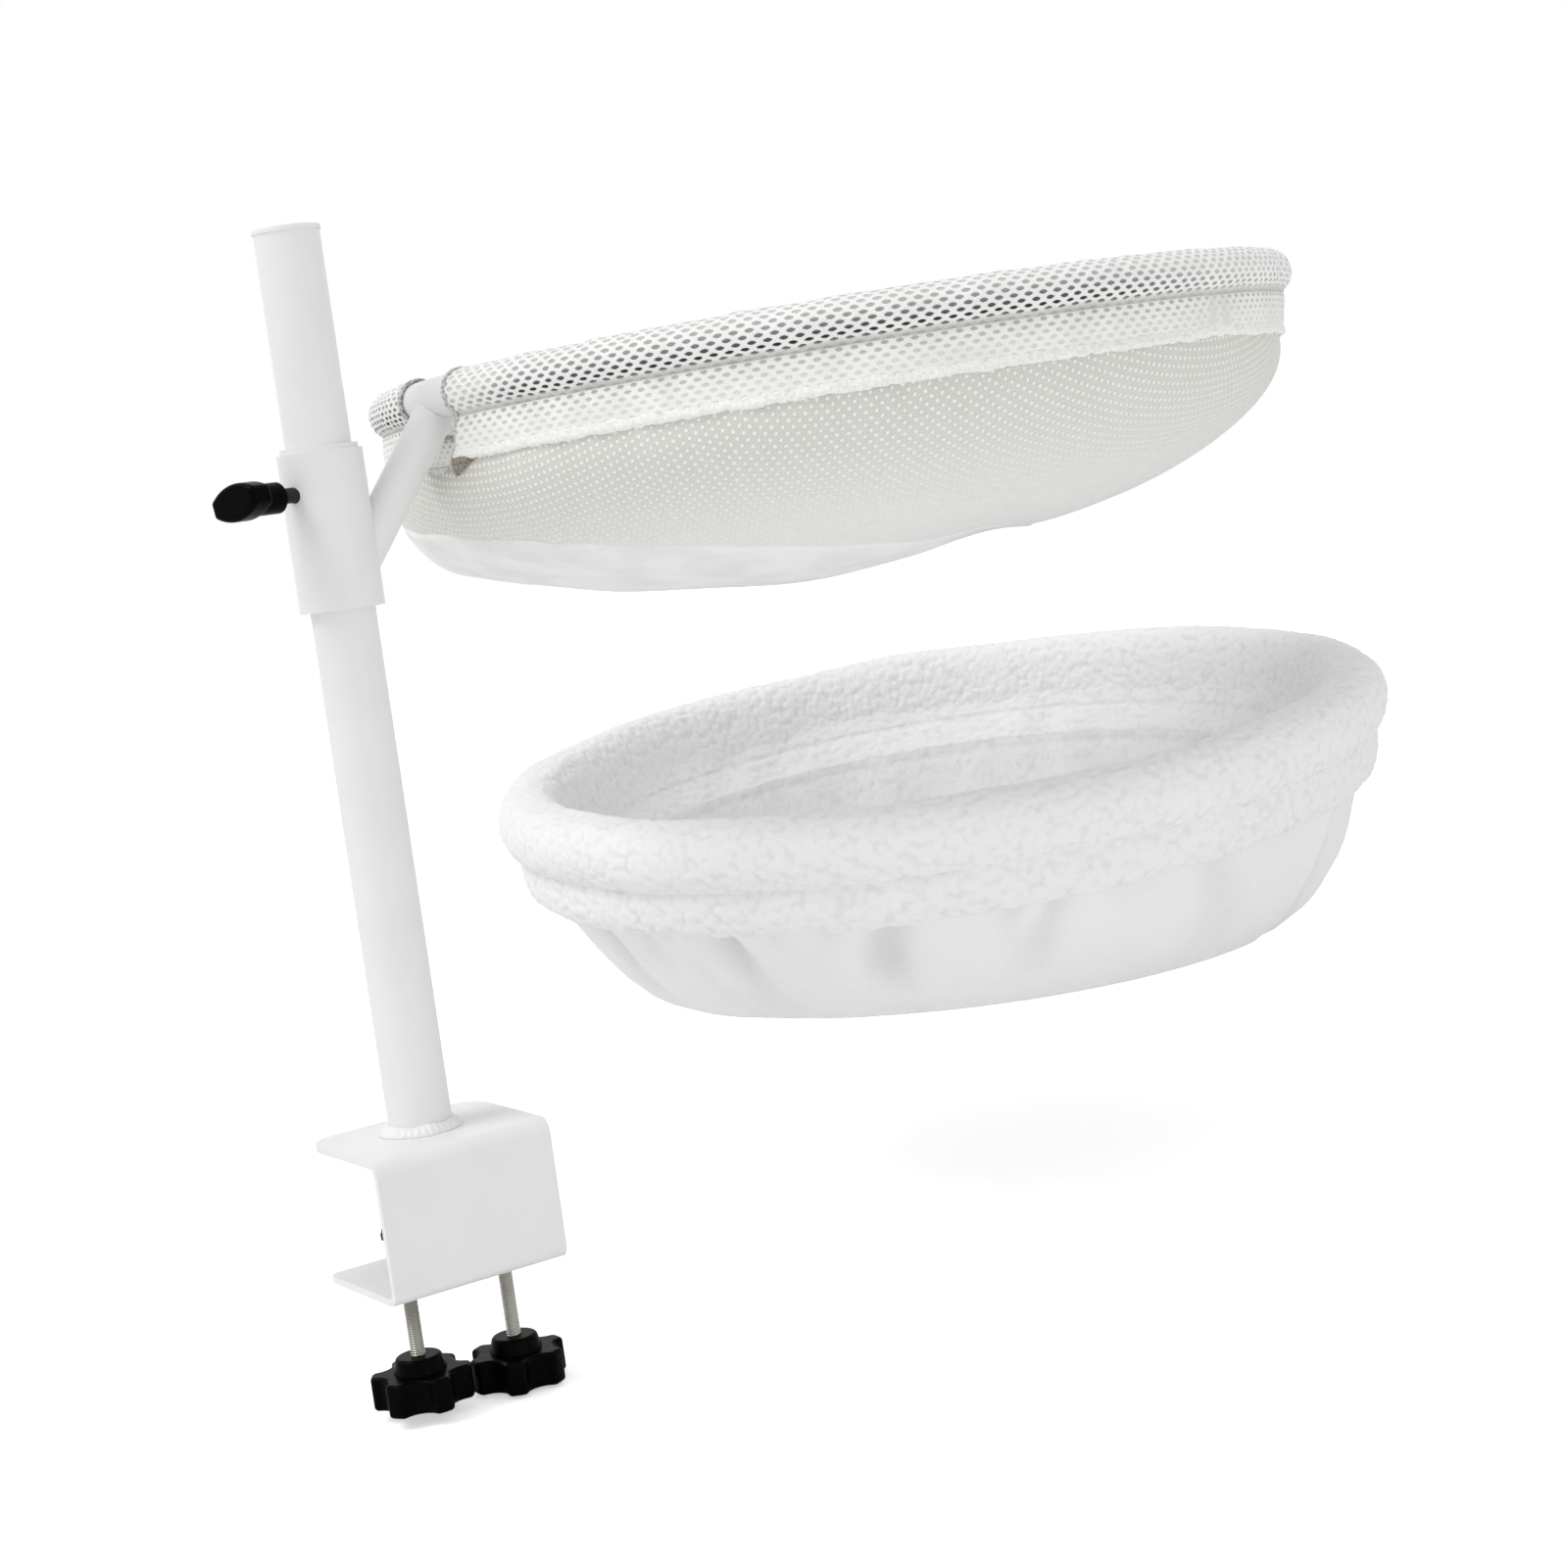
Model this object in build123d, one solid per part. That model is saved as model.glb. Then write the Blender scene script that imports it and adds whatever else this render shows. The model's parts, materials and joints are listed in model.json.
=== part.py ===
from build123d import *
import math
import os

os.makedirs("parts", exist_ok=True)

# A cat bed set for a desk: a mesh hammock on a hoop that slides and swivels on a clamped post,
# and a second, plush bed that stands by itself at desk level.
# Millimetres. The origin is on the post's axis, in the plane of the desk top: the underside of
# the pad under the upper jaw. Z is up the post, Y into the desk, X along the clamp to the hoop.

# From the bottom of the lower knob to the top of the post's cap
overall_height = 461.8

# Clamp bracket, bent from one plate
plate_thickness = 3.0
jaw_width = 75.0
upper_jaw_depth = 65.0
lower_jaw_depth = 62.0
clamp_height = 57.0
post_setback = 37.0
bend_inner_radius = 3.0
upper_corner_radius = 12.0
lower_corner_radius = 4.0

# Foam pad stuck under the upper jaw
jaw_pad_thickness = 1.5
jaw_pad_margin = 4.0
jaw_pad_corner = 6.0

# Post, its cap and the weld round its foot
post_radius = 12.7
post_wall = 1.5
cap_lip_height = 2.0
cap_lip_overhang = 0.5
cap_edge_round = 0.8
cap_plug_length = 12.0
cap_plug_clearance = 0.05
weld_leg = 4.0
weld_throat_share = 0.36

# Clamp screws, one each side of the post
thread_radius = 3.0
thread_clearance = 0.05
screw_spacing = 42.0
screw_offset = 12.0
screw_reach = 48.0
screw_in_knob = 14.0
jaw_hole_clearance = 0.4
left_hub_drop = 27.4
right_hub_drop = 31.3
nut_width = 10.0
nut_sides = 6
nut_height = 5.0

# Six-lobed knobs
knob_radius = 19.8
knob_height = 13.5
knob_lobes = 6
knob_flute_radius = 7.0
knob_flute_depth = 4.6
knob_flute_round = 2.4
knob_edge_round = 1.6
hub_top_radius = 9.0
hub_foot_radius = 10.5
hub_height = 6.0
left_knob_turn = 0.0
right_knob_turn = 30.0

# Swivel pads on the screw tips
press_pad_radius = 7.5
press_pad_head = 2.0
press_pad_socket = 3.0
press_pad_neck_radius = 5.0
press_face_thickness = 1.5
press_face_inset = 0.5

# Sleeve that carries the hammock, and the bushes it turns on
sleeve_radius = 16.5
sleeve_wall = 2.6
sleeve_length = 61.0
sleeve_low = 211.8
bush_length = 10.0
bush_clearance = 0.06
collar_height = 2.0
collar_radius = 15.0

# Thumb screw through the sleeve
thumb_drop = 15.6
thumb_heading = 200.0
thumb_slack = 0.05
thumb_tip_radius = 2.5
thumb_tip_proud = 0.8
thumb_pin_radius = 1.4
thumb_pin_length = 3.0
thumb_bare_thread = 9.0
thumb_thread_in_knob = 9.0
thumb_hub_radius = 6.0
thumb_hub_length = 12.5
thumb_grip_width = 24.0
thumb_grip_height = 14.0
thumb_grip_tip_height = 6.0
thumb_grip_depth = 10.0
thumb_grip_round = 2.0
thumb_grip_turn = 10.0

# Strut from the sleeve up to the hoop
strut_radius = 8.0
strut_wall = 1.5
strut_foot_rise = 25.5
strut_aim_out = 1.7
strut_aim_drop = 1.9

# Hoop, a ring of tube that leans a little, as in use
hoop_radius = 189.5
hoop_tube_radius = 8.0
hoop_wall = 1.2
hoop_gap = 52.5
hoop_rise_on_post = 76.3
hoop_roll_angle = -1.4
hoop_pitch_angle = -0.9
vent_radius = 1.5
hoop_seam_turn = 90.0
tube_seam_turn = 45.0

# Mesh hammock
mesh_clearance = 0.2
mesh_thickness = 0.8
cutout_low_angle = 175.2
cutout_high_angle = 187.0
skirt_inner_reach = 6.9
skirt_thickness = 2.0
skirt_top_drop = 6.0
hem_drop = 26.0
hem_height = 2.6
hem_thickness = 2.5
edging_angle = 0.8
edging_thickness = 1.4
tab_angle = 3.6
tab_height = 3.5
tab_thickness = 1.2
bowl_clearance = 0.2
bowl_top_drop = 22.0
bowl_depth = 71.2
bowl_wall = 1.6
bowl_drift_x = -15.3
bowl_drift_y = 9.75
bowl_radius_shares = [1.0, 0.996, 0.976, 0.906, 0.788, 0.621, 0.395, 0.212]
bowl_depth_shares = [0.0, 0.098, 0.25, 0.491, 0.7, 0.863, 0.965, 1.0]
bowl_drift_shares = [0.0, 0.031, 0.125, 0.344, 0.586, 0.801, 0.948, 1.0]
panel_seam_drop = 76.8
panel_seam_roll = 7.5
panel_seam_pitch = 6.09
strut_cut_margin = 3.0

# Plush bed, which stands on its flat base with its soft rim a little aslant
bed_x = 342.7
bed_y = 95.4
bed_roll_angle = 2.8
bed_pitch_angle = -4.07
rim_roll_radius = 16.0
rim_roll_overhang = 1.0
rim_roll_height = 99.5
low_roll_radius = 9.0
low_roll_overhang = 2.0
low_roll_height = 76.0
bed_hem_radius = 200.0
bed_hem_height = 69.0
bed_base_radius = 156.0
bed_base_shift = 2.0
wall_height_shares = [0.0, 0.2, 0.55, 1.0]
wall_reach_shares = [0.0, 0.34, 0.66, 1.0]
base_cloth_thickness = 3.0
base_cloth_margin = 3.0
wall_foot_padding = 7.0
wall_hem_padding = 27.0
lining_thickness = 5.0
mouth_tuck = 13.0
mouth_height = 96.0
stitch_heights = [82.0, 71.0]
stitch_radius = 1.6
floor_thickness = 9.0
floor_crown = 5.0
floor_edge_clearance = 0.5

# Allowance by which a cutting tool overruns what it cuts
overrun = 5.0

# Places that follow from the sizes
upper_jaw_low = jaw_pad_thickness
upper_jaw_top = upper_jaw_low + plate_thickness
clamp_bottom = upper_jaw_top - clamp_height
lower_jaw_top = clamp_bottom + plate_thickness
web_front = -post_setback
web_back = web_front + plate_thickness
knob_bottom = clamp_bottom - right_hub_drop - hub_height - knob_height
post_top = knob_bottom + overall_height - cap_lip_height
sleeve_top = sleeve_low + sleeve_length
sleeve_bore = sleeve_radius - sleeve_wall
thumb_height = sleeve_top - thumb_drop
hoop_height = sleeve_low + hoop_rise_on_post
mesh_inner = hoop_tube_radius + mesh_clearance
mesh_outer = mesh_inner + mesh_thickness
rim_roll_reach = bed_hem_radius + rim_roll_overhang
low_roll_reach = bed_hem_radius + low_roll_overhang
lining_foot_radius = bed_base_radius - wall_foot_padding - lining_thickness
lining_hem_radius = bed_hem_radius - wall_hem_padding - lining_thickness
mouth_radius = rim_roll_reach - mouth_tuck

parts = {}


def disc(radius, low, high):
    return Pos(0, 0, low) * extrude(Circle(radius), high - low)


def pipe(outer, inner, low, high):
    return Pos(0, 0, low) * extrude(Circle(outer) - Circle(inner), high - low)


# An arc from a point to the Z axis that meets the axis squarely, so that it turns into a cap
def cap_arc(edge_radius, edge_height, apex_height):
    rise = apex_height - edge_height
    sphere_radius = (edge_radius * edge_radius + rise * rise) / abs(rise + rise)
    half_angle = math.asin(edge_radius / sphere_radius) / 2
    middle_rise = math.copysign(sphere_radius * (1 - math.cos(half_angle)), rise)
    middle = (sphere_radius * math.sin(half_angle), apex_height - middle_rise)
    return ThreePointArc((edge_radius, edge_height), middle, (0, apex_height))


# Clamp: a bent C profile drawn from the side, drawn out along X, with rounded jaw corners
def make_bracket():
    outer_bend = bend_inner_radius + plate_thickness
    outside = Rectangle(upper_jaw_depth, clamp_height, align=(Align.MIN, Align.MIN))
    outside = fillet(outside.vertices().group_by(Axis.X)[0], outer_bend)
    mouth = Rectangle(
        upper_jaw_depth,
        clamp_height - plate_thickness - plate_thickness,
        align=(Align.MIN, Align.MIN),
    )
    mouth = fillet(mouth.vertices().group_by(Axis.X)[0], bend_inner_radius)
    profile = outside - Pos(plate_thickness, plate_thickness) * mouth
    side = Plane(origin=(0, web_front, clamp_bottom), x_dir=(0, 1, 0), z_dir=(1, 0, 0))
    bracket = extrude(side * profile, jaw_width / 2, both=True)
    jaw_step = upper_jaw_depth - lower_jaw_depth
    trim = Pos(0, web_front + lower_jaw_depth, clamp_bottom) * Box(
        jaw_width + overrun,
        jaw_step + overrun,
        plate_thickness + overrun,
        align=(Align.CENTER, Align.MIN, Align.CENTER),
    )
    bracket = bracket - trim
    uprights = bracket.edges().filter_by(Axis.Z)
    upper = uprights.filter_by(lambda edge: edge.center().Y > 0 and edge.center().Z > 0)
    bracket = fillet(upper, upper_corner_radius)
    uprights = bracket.edges().filter_by(Axis.Z)
    lower = uprights.filter_by(lambda edge: edge.center().Y > 0 and edge.center().Z < 0)
    bracket = fillet(lower, lower_corner_radius)
    hole_radius = thread_radius + jaw_hole_clearance
    for side_sign in (-1, 1):
        hole = disc(hole_radius, clamp_bottom - overrun, lower_jaw_top + overrun)
        bracket = bracket - Pos(side_sign * screw_spacing / 2, -screw_offset, 0) * hole
    return bracket


def make_nuts():
    blank = RegularPolygon(nut_width / 2, nut_sides, major_radius=False)
    blank = blank - Circle(thread_radius + thread_clearance)
    nut = Pos(0, -screw_offset, lower_jaw_top) * extrude(blank, nut_height)
    left = Pos(-screw_spacing / 2, 0, 0) * nut
    right = Pos(screw_spacing / 2, 0, 0) * nut
    return Compound(children=[left, right])


def make_jaw_pad():
    length = upper_jaw_depth - bend_inner_radius - plate_thickness - jaw_pad_margin
    middle = web_front + upper_jaw_depth - jaw_pad_margin - length / 2
    sheet = RectangleRounded(jaw_width - jaw_pad_margin - jaw_pad_margin, length, jaw_pad_corner)
    return Pos(0, middle, 0) * extrude(sheet, jaw_pad_thickness)


parts["clamp_bracket"] = make_bracket()
parts["weld_nuts"] = make_nuts()
parts["jaw_pad"] = make_jaw_pad()


# Post: a tube, its pressed-in cap, and the fillet weld that closes its foot
def make_post_cap():
    lip = disc(post_radius + cap_lip_overhang, post_top, post_top + cap_lip_height)
    lip = fillet(lip.edges().group_by(Axis.Z)[-1], cap_edge_round)
    plug_radius = post_radius - post_wall - cap_plug_clearance
    return lip + disc(plug_radius, post_top - cap_plug_length, post_top)


def make_post_weld():
    foot = Plane.XZ * Pos(post_radius, upper_jaw_top)
    section = make_face(
        Line((0, 0), (weld_leg, 0))
        + ThreePointArc((weld_leg, 0), (weld_leg * weld_throat_share, weld_leg * weld_throat_share), (0, weld_leg))
        + Line((0, weld_leg), (0, 0))
    )
    return revolve(foot * section, Axis.Z)


parts["post_tube"] = pipe(post_radius, post_radius - post_wall, upper_jaw_top, post_top)
parts["post_cap"] = make_post_cap()
parts["post_weld"] = make_post_weld()


# Clamp screws: stud, lobed knob, swivel pad and its soft face, all hung from the hub's height
def make_knob(hub_top, turn):
    body_top = hub_top - hub_height
    flute_circle = knob_radius + knob_flute_radius - knob_flute_depth
    flutes = PolarLocations(flute_circle, knob_lobes) * Circle(knob_flute_radius)
    outline = Circle(knob_radius) - flutes
    outline = fillet(outline.vertices(), knob_flute_round)
    body = extrude(outline, knob_height)
    rims = body.edges().group_by(Axis.Z)
    body = fillet(rims[0] + rims[-1], knob_edge_round)
    body = Pos(0, 0, body_top - knob_height) * Rot(0, 0, turn) * body
    hub = Pos(0, 0, body_top) * Cone(
        hub_foot_radius,
        hub_top_radius,
        hub_height,
        align=(Align.CENTER, Align.CENTER, Align.MIN),
    )
    hub = fillet(hub.edges().group_by(Axis.Z)[-1], knob_edge_round)
    return body + hub - disc(thread_radius, hub_top - screw_in_knob, hub_top + overrun)


def make_press_pad(tip):
    head = disc(press_pad_radius, tip, tip + press_pad_head)
    neck = disc(press_pad_neck_radius, tip - press_pad_socket, tip)
    socket = disc(thread_radius + thread_clearance, tip - press_pad_socket - overrun, tip)
    return head + neck - socket


for name, side_sign, hub_drop, turn in (
    ("left", -1, left_hub_drop, left_knob_turn),
    ("right", 1, right_hub_drop, right_knob_turn),
):
    hub_top = clamp_bottom - hub_drop
    tip = hub_top + screw_reach
    face_low = tip + press_pad_head
    place = Pos(side_sign * screw_spacing / 2, -screw_offset, 0)
    parts[name + "_clamp_stud"] = place * disc(thread_radius, hub_top - screw_in_knob, tip)
    parts[name + "_star_knob"] = place * make_knob(hub_top, turn)
    parts[name + "_press_pad"] = place * make_press_pad(tip)
    soft_face = disc(press_pad_radius - press_face_inset, face_low, face_low + press_face_thickness)
    parts[name + "_press_face"] = place * soft_face


# Sleeve with its two bushes: the upper one has the collar that shows above the sleeve
thumb_axis = Vector(math.cos(math.radians(thumb_heading)), math.sin(math.radians(thumb_heading)), 0)
thumb_plane = Plane(origin=(0, 0, thumb_height), x_dir=(0, 0, 1), z_dir=thumb_axis)
thumb_hole = thumb_plane * disc(thread_radius + thread_clearance, 0, sleeve_radius + overrun)
bush_outer = sleeve_bore - bush_clearance
bush_bore = post_radius + bush_clearance
bush_low = sleeve_top - bush_length
sleeve = pipe(sleeve_radius, sleeve_bore, sleeve_low, sleeve_top) - thumb_hole
collar = pipe(collar_radius, bush_bore, sleeve_top, sleeve_top + collar_height)
parts["upper_bush"] = pipe(bush_outer, bush_bore, bush_low, sleeve_top) + collar
parts["lower_bush"] = pipe(bush_outer, bush_bore, sleeve_low, sleeve_low + bush_length)


# Thumb screw, drawn along its own axis and then aimed through the sleeve
def make_thumb_grip(low):
    half_width = thumb_grip_width / 2
    half_height = thumb_grip_height / 2
    half_tip = thumb_grip_tip_height / 2
    outline = make_face(
        ThreePointArc((-half_tip, -half_width), (-half_height, 0), (-half_tip, half_width))
        + Line((-half_tip, half_width), (half_tip, half_width))
        + ThreePointArc((half_tip, half_width), (half_height, 0), (half_tip, -half_width))
        + Line((half_tip, -half_width), (-half_tip, -half_width))
    )
    grip = extrude(outline, thumb_grip_depth)
    grip = fillet(grip.edges(), thumb_grip_round)
    return Pos(0, 0, low) * Rot(0, 0, thumb_grip_turn) * grip


tip_low = post_radius + thumb_slack
thread_low = tip_low + thumb_tip_proud
hub_low = sleeve_radius + thumb_bare_thread
grip_low = hub_low + thumb_hub_length
thumb_pin = disc(thumb_pin_radius, thread_low, thread_low + thumb_pin_length)
thumb_tip = disc(thumb_tip_radius, tip_low, thread_low) + thumb_pin
thumb_thread = disc(thread_radius, thread_low, hub_low + thumb_thread_in_knob)
thumb_socket_top = thread_low + thumb_pin_length + thread_clearance
thumb_thread = thumb_thread - disc(thumb_pin_radius + thread_clearance, thread_low, thumb_socket_top)
thumb_hub = disc(thumb_hub_radius, hub_low, grip_low)
thumb_hub = thumb_hub + make_thumb_grip(grip_low)
thumb_hub = thumb_hub - disc(thread_radius, hub_low, hub_low + thumb_thread_in_knob)
parts["thumb_tip"] = thumb_plane * thumb_tip
parts["thumb_stud"] = thumb_plane * thumb_thread
parts["thumb_knob"] = thumb_plane * thumb_hub

# Hoop and strut: the strut is coped to the sleeve at its foot and to the hoop at its head.
# The vent lets air out of the hoop into the strut.
hoop_lean = Pos(hoop_gap, 0, hoop_height) * Rot(hoop_roll_angle, hoop_pitch_angle, 0)
hoop_place = hoop_lean * Pos(hoop_radius, 0, 0)
strut_foot = Vector(sleeve_radius, 0, sleeve_low + strut_foot_rise)
strut_head = Vector(hoop_gap + strut_aim_out, 0, hoop_height - strut_aim_drop)
strut_run = strut_head - strut_foot
strut_plane = Plane(origin=strut_foot, x_dir=(0, 1, 0), z_dir=strut_run)
strut_back = -sleeve_radius
hoop_solid = hoop_place * Torus(hoop_radius, hoop_tube_radius)
hoop_section = Circle(hoop_tube_radius) - Circle(hoop_tube_radius - hoop_wall)
hoop_section = Pos(hoop_radius, 0) * Rot(0, 0, tube_seam_turn) * hoop_section
hoop_ring = Rot(0, 0, hoop_seam_turn) * revolve(Plane.XZ * hoop_section, Axis.Z)
vent = Pos(-hoop_radius, 0, 0) * disc(vent_radius, -hoop_tube_radius - overrun, 0)
strut = strut_plane * pipe(strut_radius, strut_radius - strut_wall, strut_back, strut_run.length)
strut = strut - disc(sleeve_radius, sleeve_low - overrun, sleeve_top + overrun) - hoop_solid
parts["sleeve"] = sleeve
parts["strut"] = strut.solids().sort_by(Axis.Z)[-1]
parts["hoop"] = hoop_place * (hoop_ring - vent)


# Mesh hammock: rim cover, doubled skirt, hem, edging of the cut-out, tab and hanging bowl
def sweep_section(section, start_angle, sweep_angle):
    turned = revolve(Plane.XZ * section, Axis.Z, sweep_angle)
    return hoop_place * Rot(0, 0, start_angle) * turned


def band(inner_reach, thickness, top_drop, height):
    corner = Pos(hoop_radius + inner_reach, -top_drop - height)
    return corner * Rectangle(thickness, height, align=(Align.MIN, Align.MIN))


# The bowl is lofted through level rings whose middles drift sideways as it sags
def bowl_form(top_radius, depth):
    rings = []
    for radius_share, depth_share, drift_share in zip(
        bowl_radius_shares, bowl_depth_shares, bowl_drift_shares
    ):
        height = -bowl_top_drop - depth * depth_share
        middle = Pos(bowl_drift_x * drift_share, bowl_drift_y * drift_share, height)
        rings.append(middle * Circle(top_radius * radius_share))
    return loft(rings)


def make_bowl():
    top_radius = hoop_radius + skirt_inner_reach - bowl_clearance
    shell = bowl_form(top_radius, bowl_depth) - bowl_form(top_radius - bowl_wall, bowl_depth - bowl_wall)
    notch = strut_plane * disc(strut_radius + strut_cut_margin, 0, strut_run.length)
    return hoop_place * shell - notch


cover_sweep = 360 - (cutout_high_angle - cutout_low_angle)
skirt_height = hem_drop - hem_height - skirt_top_drop
skirt_end = cutout_low_angle
rim_ring = Pos(hoop_radius, 0) * (Circle(mesh_outer) - Circle(mesh_inner))
skirt_band = band(skirt_inner_reach, skirt_thickness, skirt_top_drop, skirt_height)
hem_band = band(skirt_inner_reach, hem_thickness, hem_drop - hem_height, hem_height)
edge_ring = Pos(hoop_radius, 0) * (Circle(mesh_inner + edging_thickness) - Circle(mesh_inner))
edge_band = band(skirt_inner_reach, hem_thickness, hoop_tube_radius / 2, hem_drop - hoop_tube_radius / 2)
edge_section = edge_ring + edge_band - Pos(hoop_radius, 0) * Circle(mesh_inner)
near_edge = sweep_section(edge_section, cutout_high_angle - edging_angle, edging_angle)
far_edge = sweep_section(edge_section, skirt_end, edging_angle)
tab_section = band(skirt_inner_reach, tab_thickness, hem_drop, tab_height)
parts["mesh_rim"] = sweep_section(rim_ring, cutout_high_angle, cover_sweep)
parts["mesh_skirt"] = sweep_section(skirt_band, cutout_high_angle, cover_sweep)
parts["skirt_hem"] = sweep_section(hem_band, cutout_high_angle, cover_sweep)
parts["cutout_edging"] = Compound(children=[near_edge, far_edge])
parts["hem_tab"] = sweep_section(tab_section, cutout_high_angle, tab_angle)
# The bowl's side is open mesh and its bottom a panel of closer cloth, joined at a slanting seam
bowl = make_bowl()
seam_place = hoop_place * Pos(0, 0, -panel_seam_drop) * Rot(panel_seam_roll, panel_seam_pitch, 0)
below_seam = seam_place * disc(hoop_radius + hoop_radius, -bowl_depth, 0)
parts["mesh_bowl"] = bowl - below_seam
parts["bowl_panel"] = bowl & below_seam

# Plush bed: below the hem it is lofted from its level base to the slanted hem
bed_place = Pos(bed_x, bed_y, 0)
hem_place = bed_place * Pos(0, 0, bed_hem_height) * Rot(bed_roll_angle, bed_pitch_angle, 0)


def bed_form(foot_radius, hem_radius, foot_height):
    rings = []
    for height_share, reach_share in zip(wall_height_shares, wall_reach_shares):
        height = foot_height + (bed_hem_height - foot_height) * height_share
        radius = foot_radius + (hem_radius - foot_radius) * reach_share
        shift = bed_base_shift * (1 - height_share)
        lean = Rot(bed_roll_angle * height_share, bed_pitch_angle * height_share, 0)
        rings.append(bed_place * Pos(shift, shift, height) * lean * Circle(radius))
    return loft(rings)


# Above the hem it is round about the slanted axis, so sections are drawn from the hem upwards
def roll_section(reach, height, radius):
    return Pos(reach, height - bed_hem_height) * Circle(radius)


def slanted_turn(section):
    return hem_place * revolve(Plane.XZ * section, Axis.Z)


def quadrangle(corners):
    edges = [Line(corners[index - 1], corners[index]) for index in range(len(corners))]
    return make_face(edges)


def make_floor_pad():
    radius = lining_foot_radius - floor_edge_clearance
    crown_top = floor_thickness + floor_crown
    section = make_face(
        [
            Line((0, 0), (radius, 0)),
            Line((radius, 0), (radius, floor_thickness)),
            cap_arc(radius, floor_thickness, crown_top),
            Line((0, crown_top), (0, 0)),
        ]
    )
    return base_place * Pos(0, 0, base_cloth_thickness) * revolve(Plane.XZ * section, Axis.Z)


base_place = bed_place * Pos(bed_base_shift, bed_base_shift, 0)
lining_back_radius = lining_hem_radius + lining_thickness
mouth_back_radius = mouth_radius + lining_thickness
band_height = mouth_height - bed_hem_height
lining_back = bed_form(
    lining_foot_radius + lining_thickness, lining_back_radius, base_cloth_thickness
)
lining_face = bed_form(lining_foot_radius, lining_hem_radius, base_cloth_thickness)
rim_section = roll_section(rim_roll_reach, rim_roll_height, rim_roll_radius)
low_section = roll_section(low_roll_reach, low_roll_height, low_roll_radius)
lining_section = quadrangle(
    [
        (lining_hem_radius, 0),
        (lining_back_radius, 0),
        (mouth_back_radius, band_height),
        (mouth_radius, band_height),
    ]
)
band_section = quadrangle(
    [
        (lining_back_radius, 0),
        (low_roll_reach, 0),
        (low_roll_reach, band_height),
        (mouth_back_radius, band_height),
    ]
)
below_hem = Rectangle(bed_hem_radius + bed_hem_radius, bed_hem_height, align=(Align.CENTER, Align.MAX))
low_section = low_section + band_section - rim_section - Pos(bed_hem_radius, 0) * below_hem
for stitch_height in stitch_heights:
    climb = (stitch_height - bed_hem_height) / band_height
    reach = lining_hem_radius + (mouth_radius - lining_hem_radius) * climb
    lining_section = lining_section - roll_section(reach, stitch_height, stitch_radius)
base_cloth = disc(bed_base_radius - base_cloth_margin, 0, base_cloth_thickness)
parts["plush_base"] = base_place * base_cloth
outer_form = bed_form(bed_base_radius, bed_hem_radius, 0)
parts["plush_wall"] = outer_form - lining_back - parts["plush_base"]
lining_band = slanted_turn(lining_section - rim_section)
parts["plush_lining"] = lining_band + (lining_back - lining_face)
parts["plush_rim_roll"] = slanted_turn(rim_section)
parts["plush_lower_roll"] = slanted_turn(low_section)
parts["plush_floor"] = make_floor_pad()

for name, shape in parts.items():
    export_step(shape, "parts/" + name + ".step")
    print(name, len(shape.solids()), round(shape.volume))
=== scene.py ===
import json
import math

import bmesh
import bpy
import numpy as np
from mathutils import Matrix


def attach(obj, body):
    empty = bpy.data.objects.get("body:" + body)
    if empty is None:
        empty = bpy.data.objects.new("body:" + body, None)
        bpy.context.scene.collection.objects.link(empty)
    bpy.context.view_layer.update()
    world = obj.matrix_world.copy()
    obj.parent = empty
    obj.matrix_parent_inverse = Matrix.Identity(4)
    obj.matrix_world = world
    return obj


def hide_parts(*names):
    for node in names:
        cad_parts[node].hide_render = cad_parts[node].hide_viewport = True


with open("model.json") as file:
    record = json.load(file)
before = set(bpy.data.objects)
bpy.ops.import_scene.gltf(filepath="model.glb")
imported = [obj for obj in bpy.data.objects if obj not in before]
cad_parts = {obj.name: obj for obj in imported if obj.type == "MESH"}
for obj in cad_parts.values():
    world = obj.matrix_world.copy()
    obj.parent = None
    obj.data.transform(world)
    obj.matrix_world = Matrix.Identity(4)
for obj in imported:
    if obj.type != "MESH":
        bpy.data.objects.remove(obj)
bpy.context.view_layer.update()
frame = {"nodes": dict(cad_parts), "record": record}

# A mesh hammock on a clamped post and a plush bed beside it. Shapes are worked out in mm in the
# frame of the CAD model and turned into metres where a mesh is made.
mm = 0.001
scene = bpy.context.scene


# Basics

# An sRGB hex colour as linear light: (c + 0.055) / 1.055 to the power 2.4, or c / 12.92 when dark
def colour(hexText):
    channels = [int(hexText[k : k + 2], 16) / 255 for k in (1, 3, 5)]
    return [c / 12.92 if c <= 0.04045 else ((c + 0.055) / 1.055) ** 2.4 for c in channels] + [1.0]


# Adds one shader node with its settings, the values of its inputs and the links into it
def addNode(tree, kind, settings={}, values={}, links={}):
    made = tree.nodes.new(kind)
    for key, value in settings.items():
        setattr(made, key, value)
    for key, value in values.items():
        made.inputs[key].default_value = value
    for key, source in links.items():
        tree.links.new(source, made.inputs[key])
    return made


# One step of arithmetic on sockets or numbers, giving the socket of the result
def calc(tree, operation, *terms):
    made = addNode(tree, "ShaderNodeMath", {"operation": operation})
    for index, term in enumerate(terms):
        if isinstance(term, (int, float)):
            made.inputs[index].default_value = term
        else:
            tree.links.new(term, made.inputs[index])
    return made.outputs[0]


# A smooth step: 0 where the input is at low, 1 where it is at high
def smoothStep(tree, value, low, high):
    settings, values = {"interpolation_type": "SMOOTHSTEP"}, {"From Min": low, "From Max": high}
    return addNode(tree, "ShaderNodeMapRange", settings, values, {"Value": value}).outputs["Result"]


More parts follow.
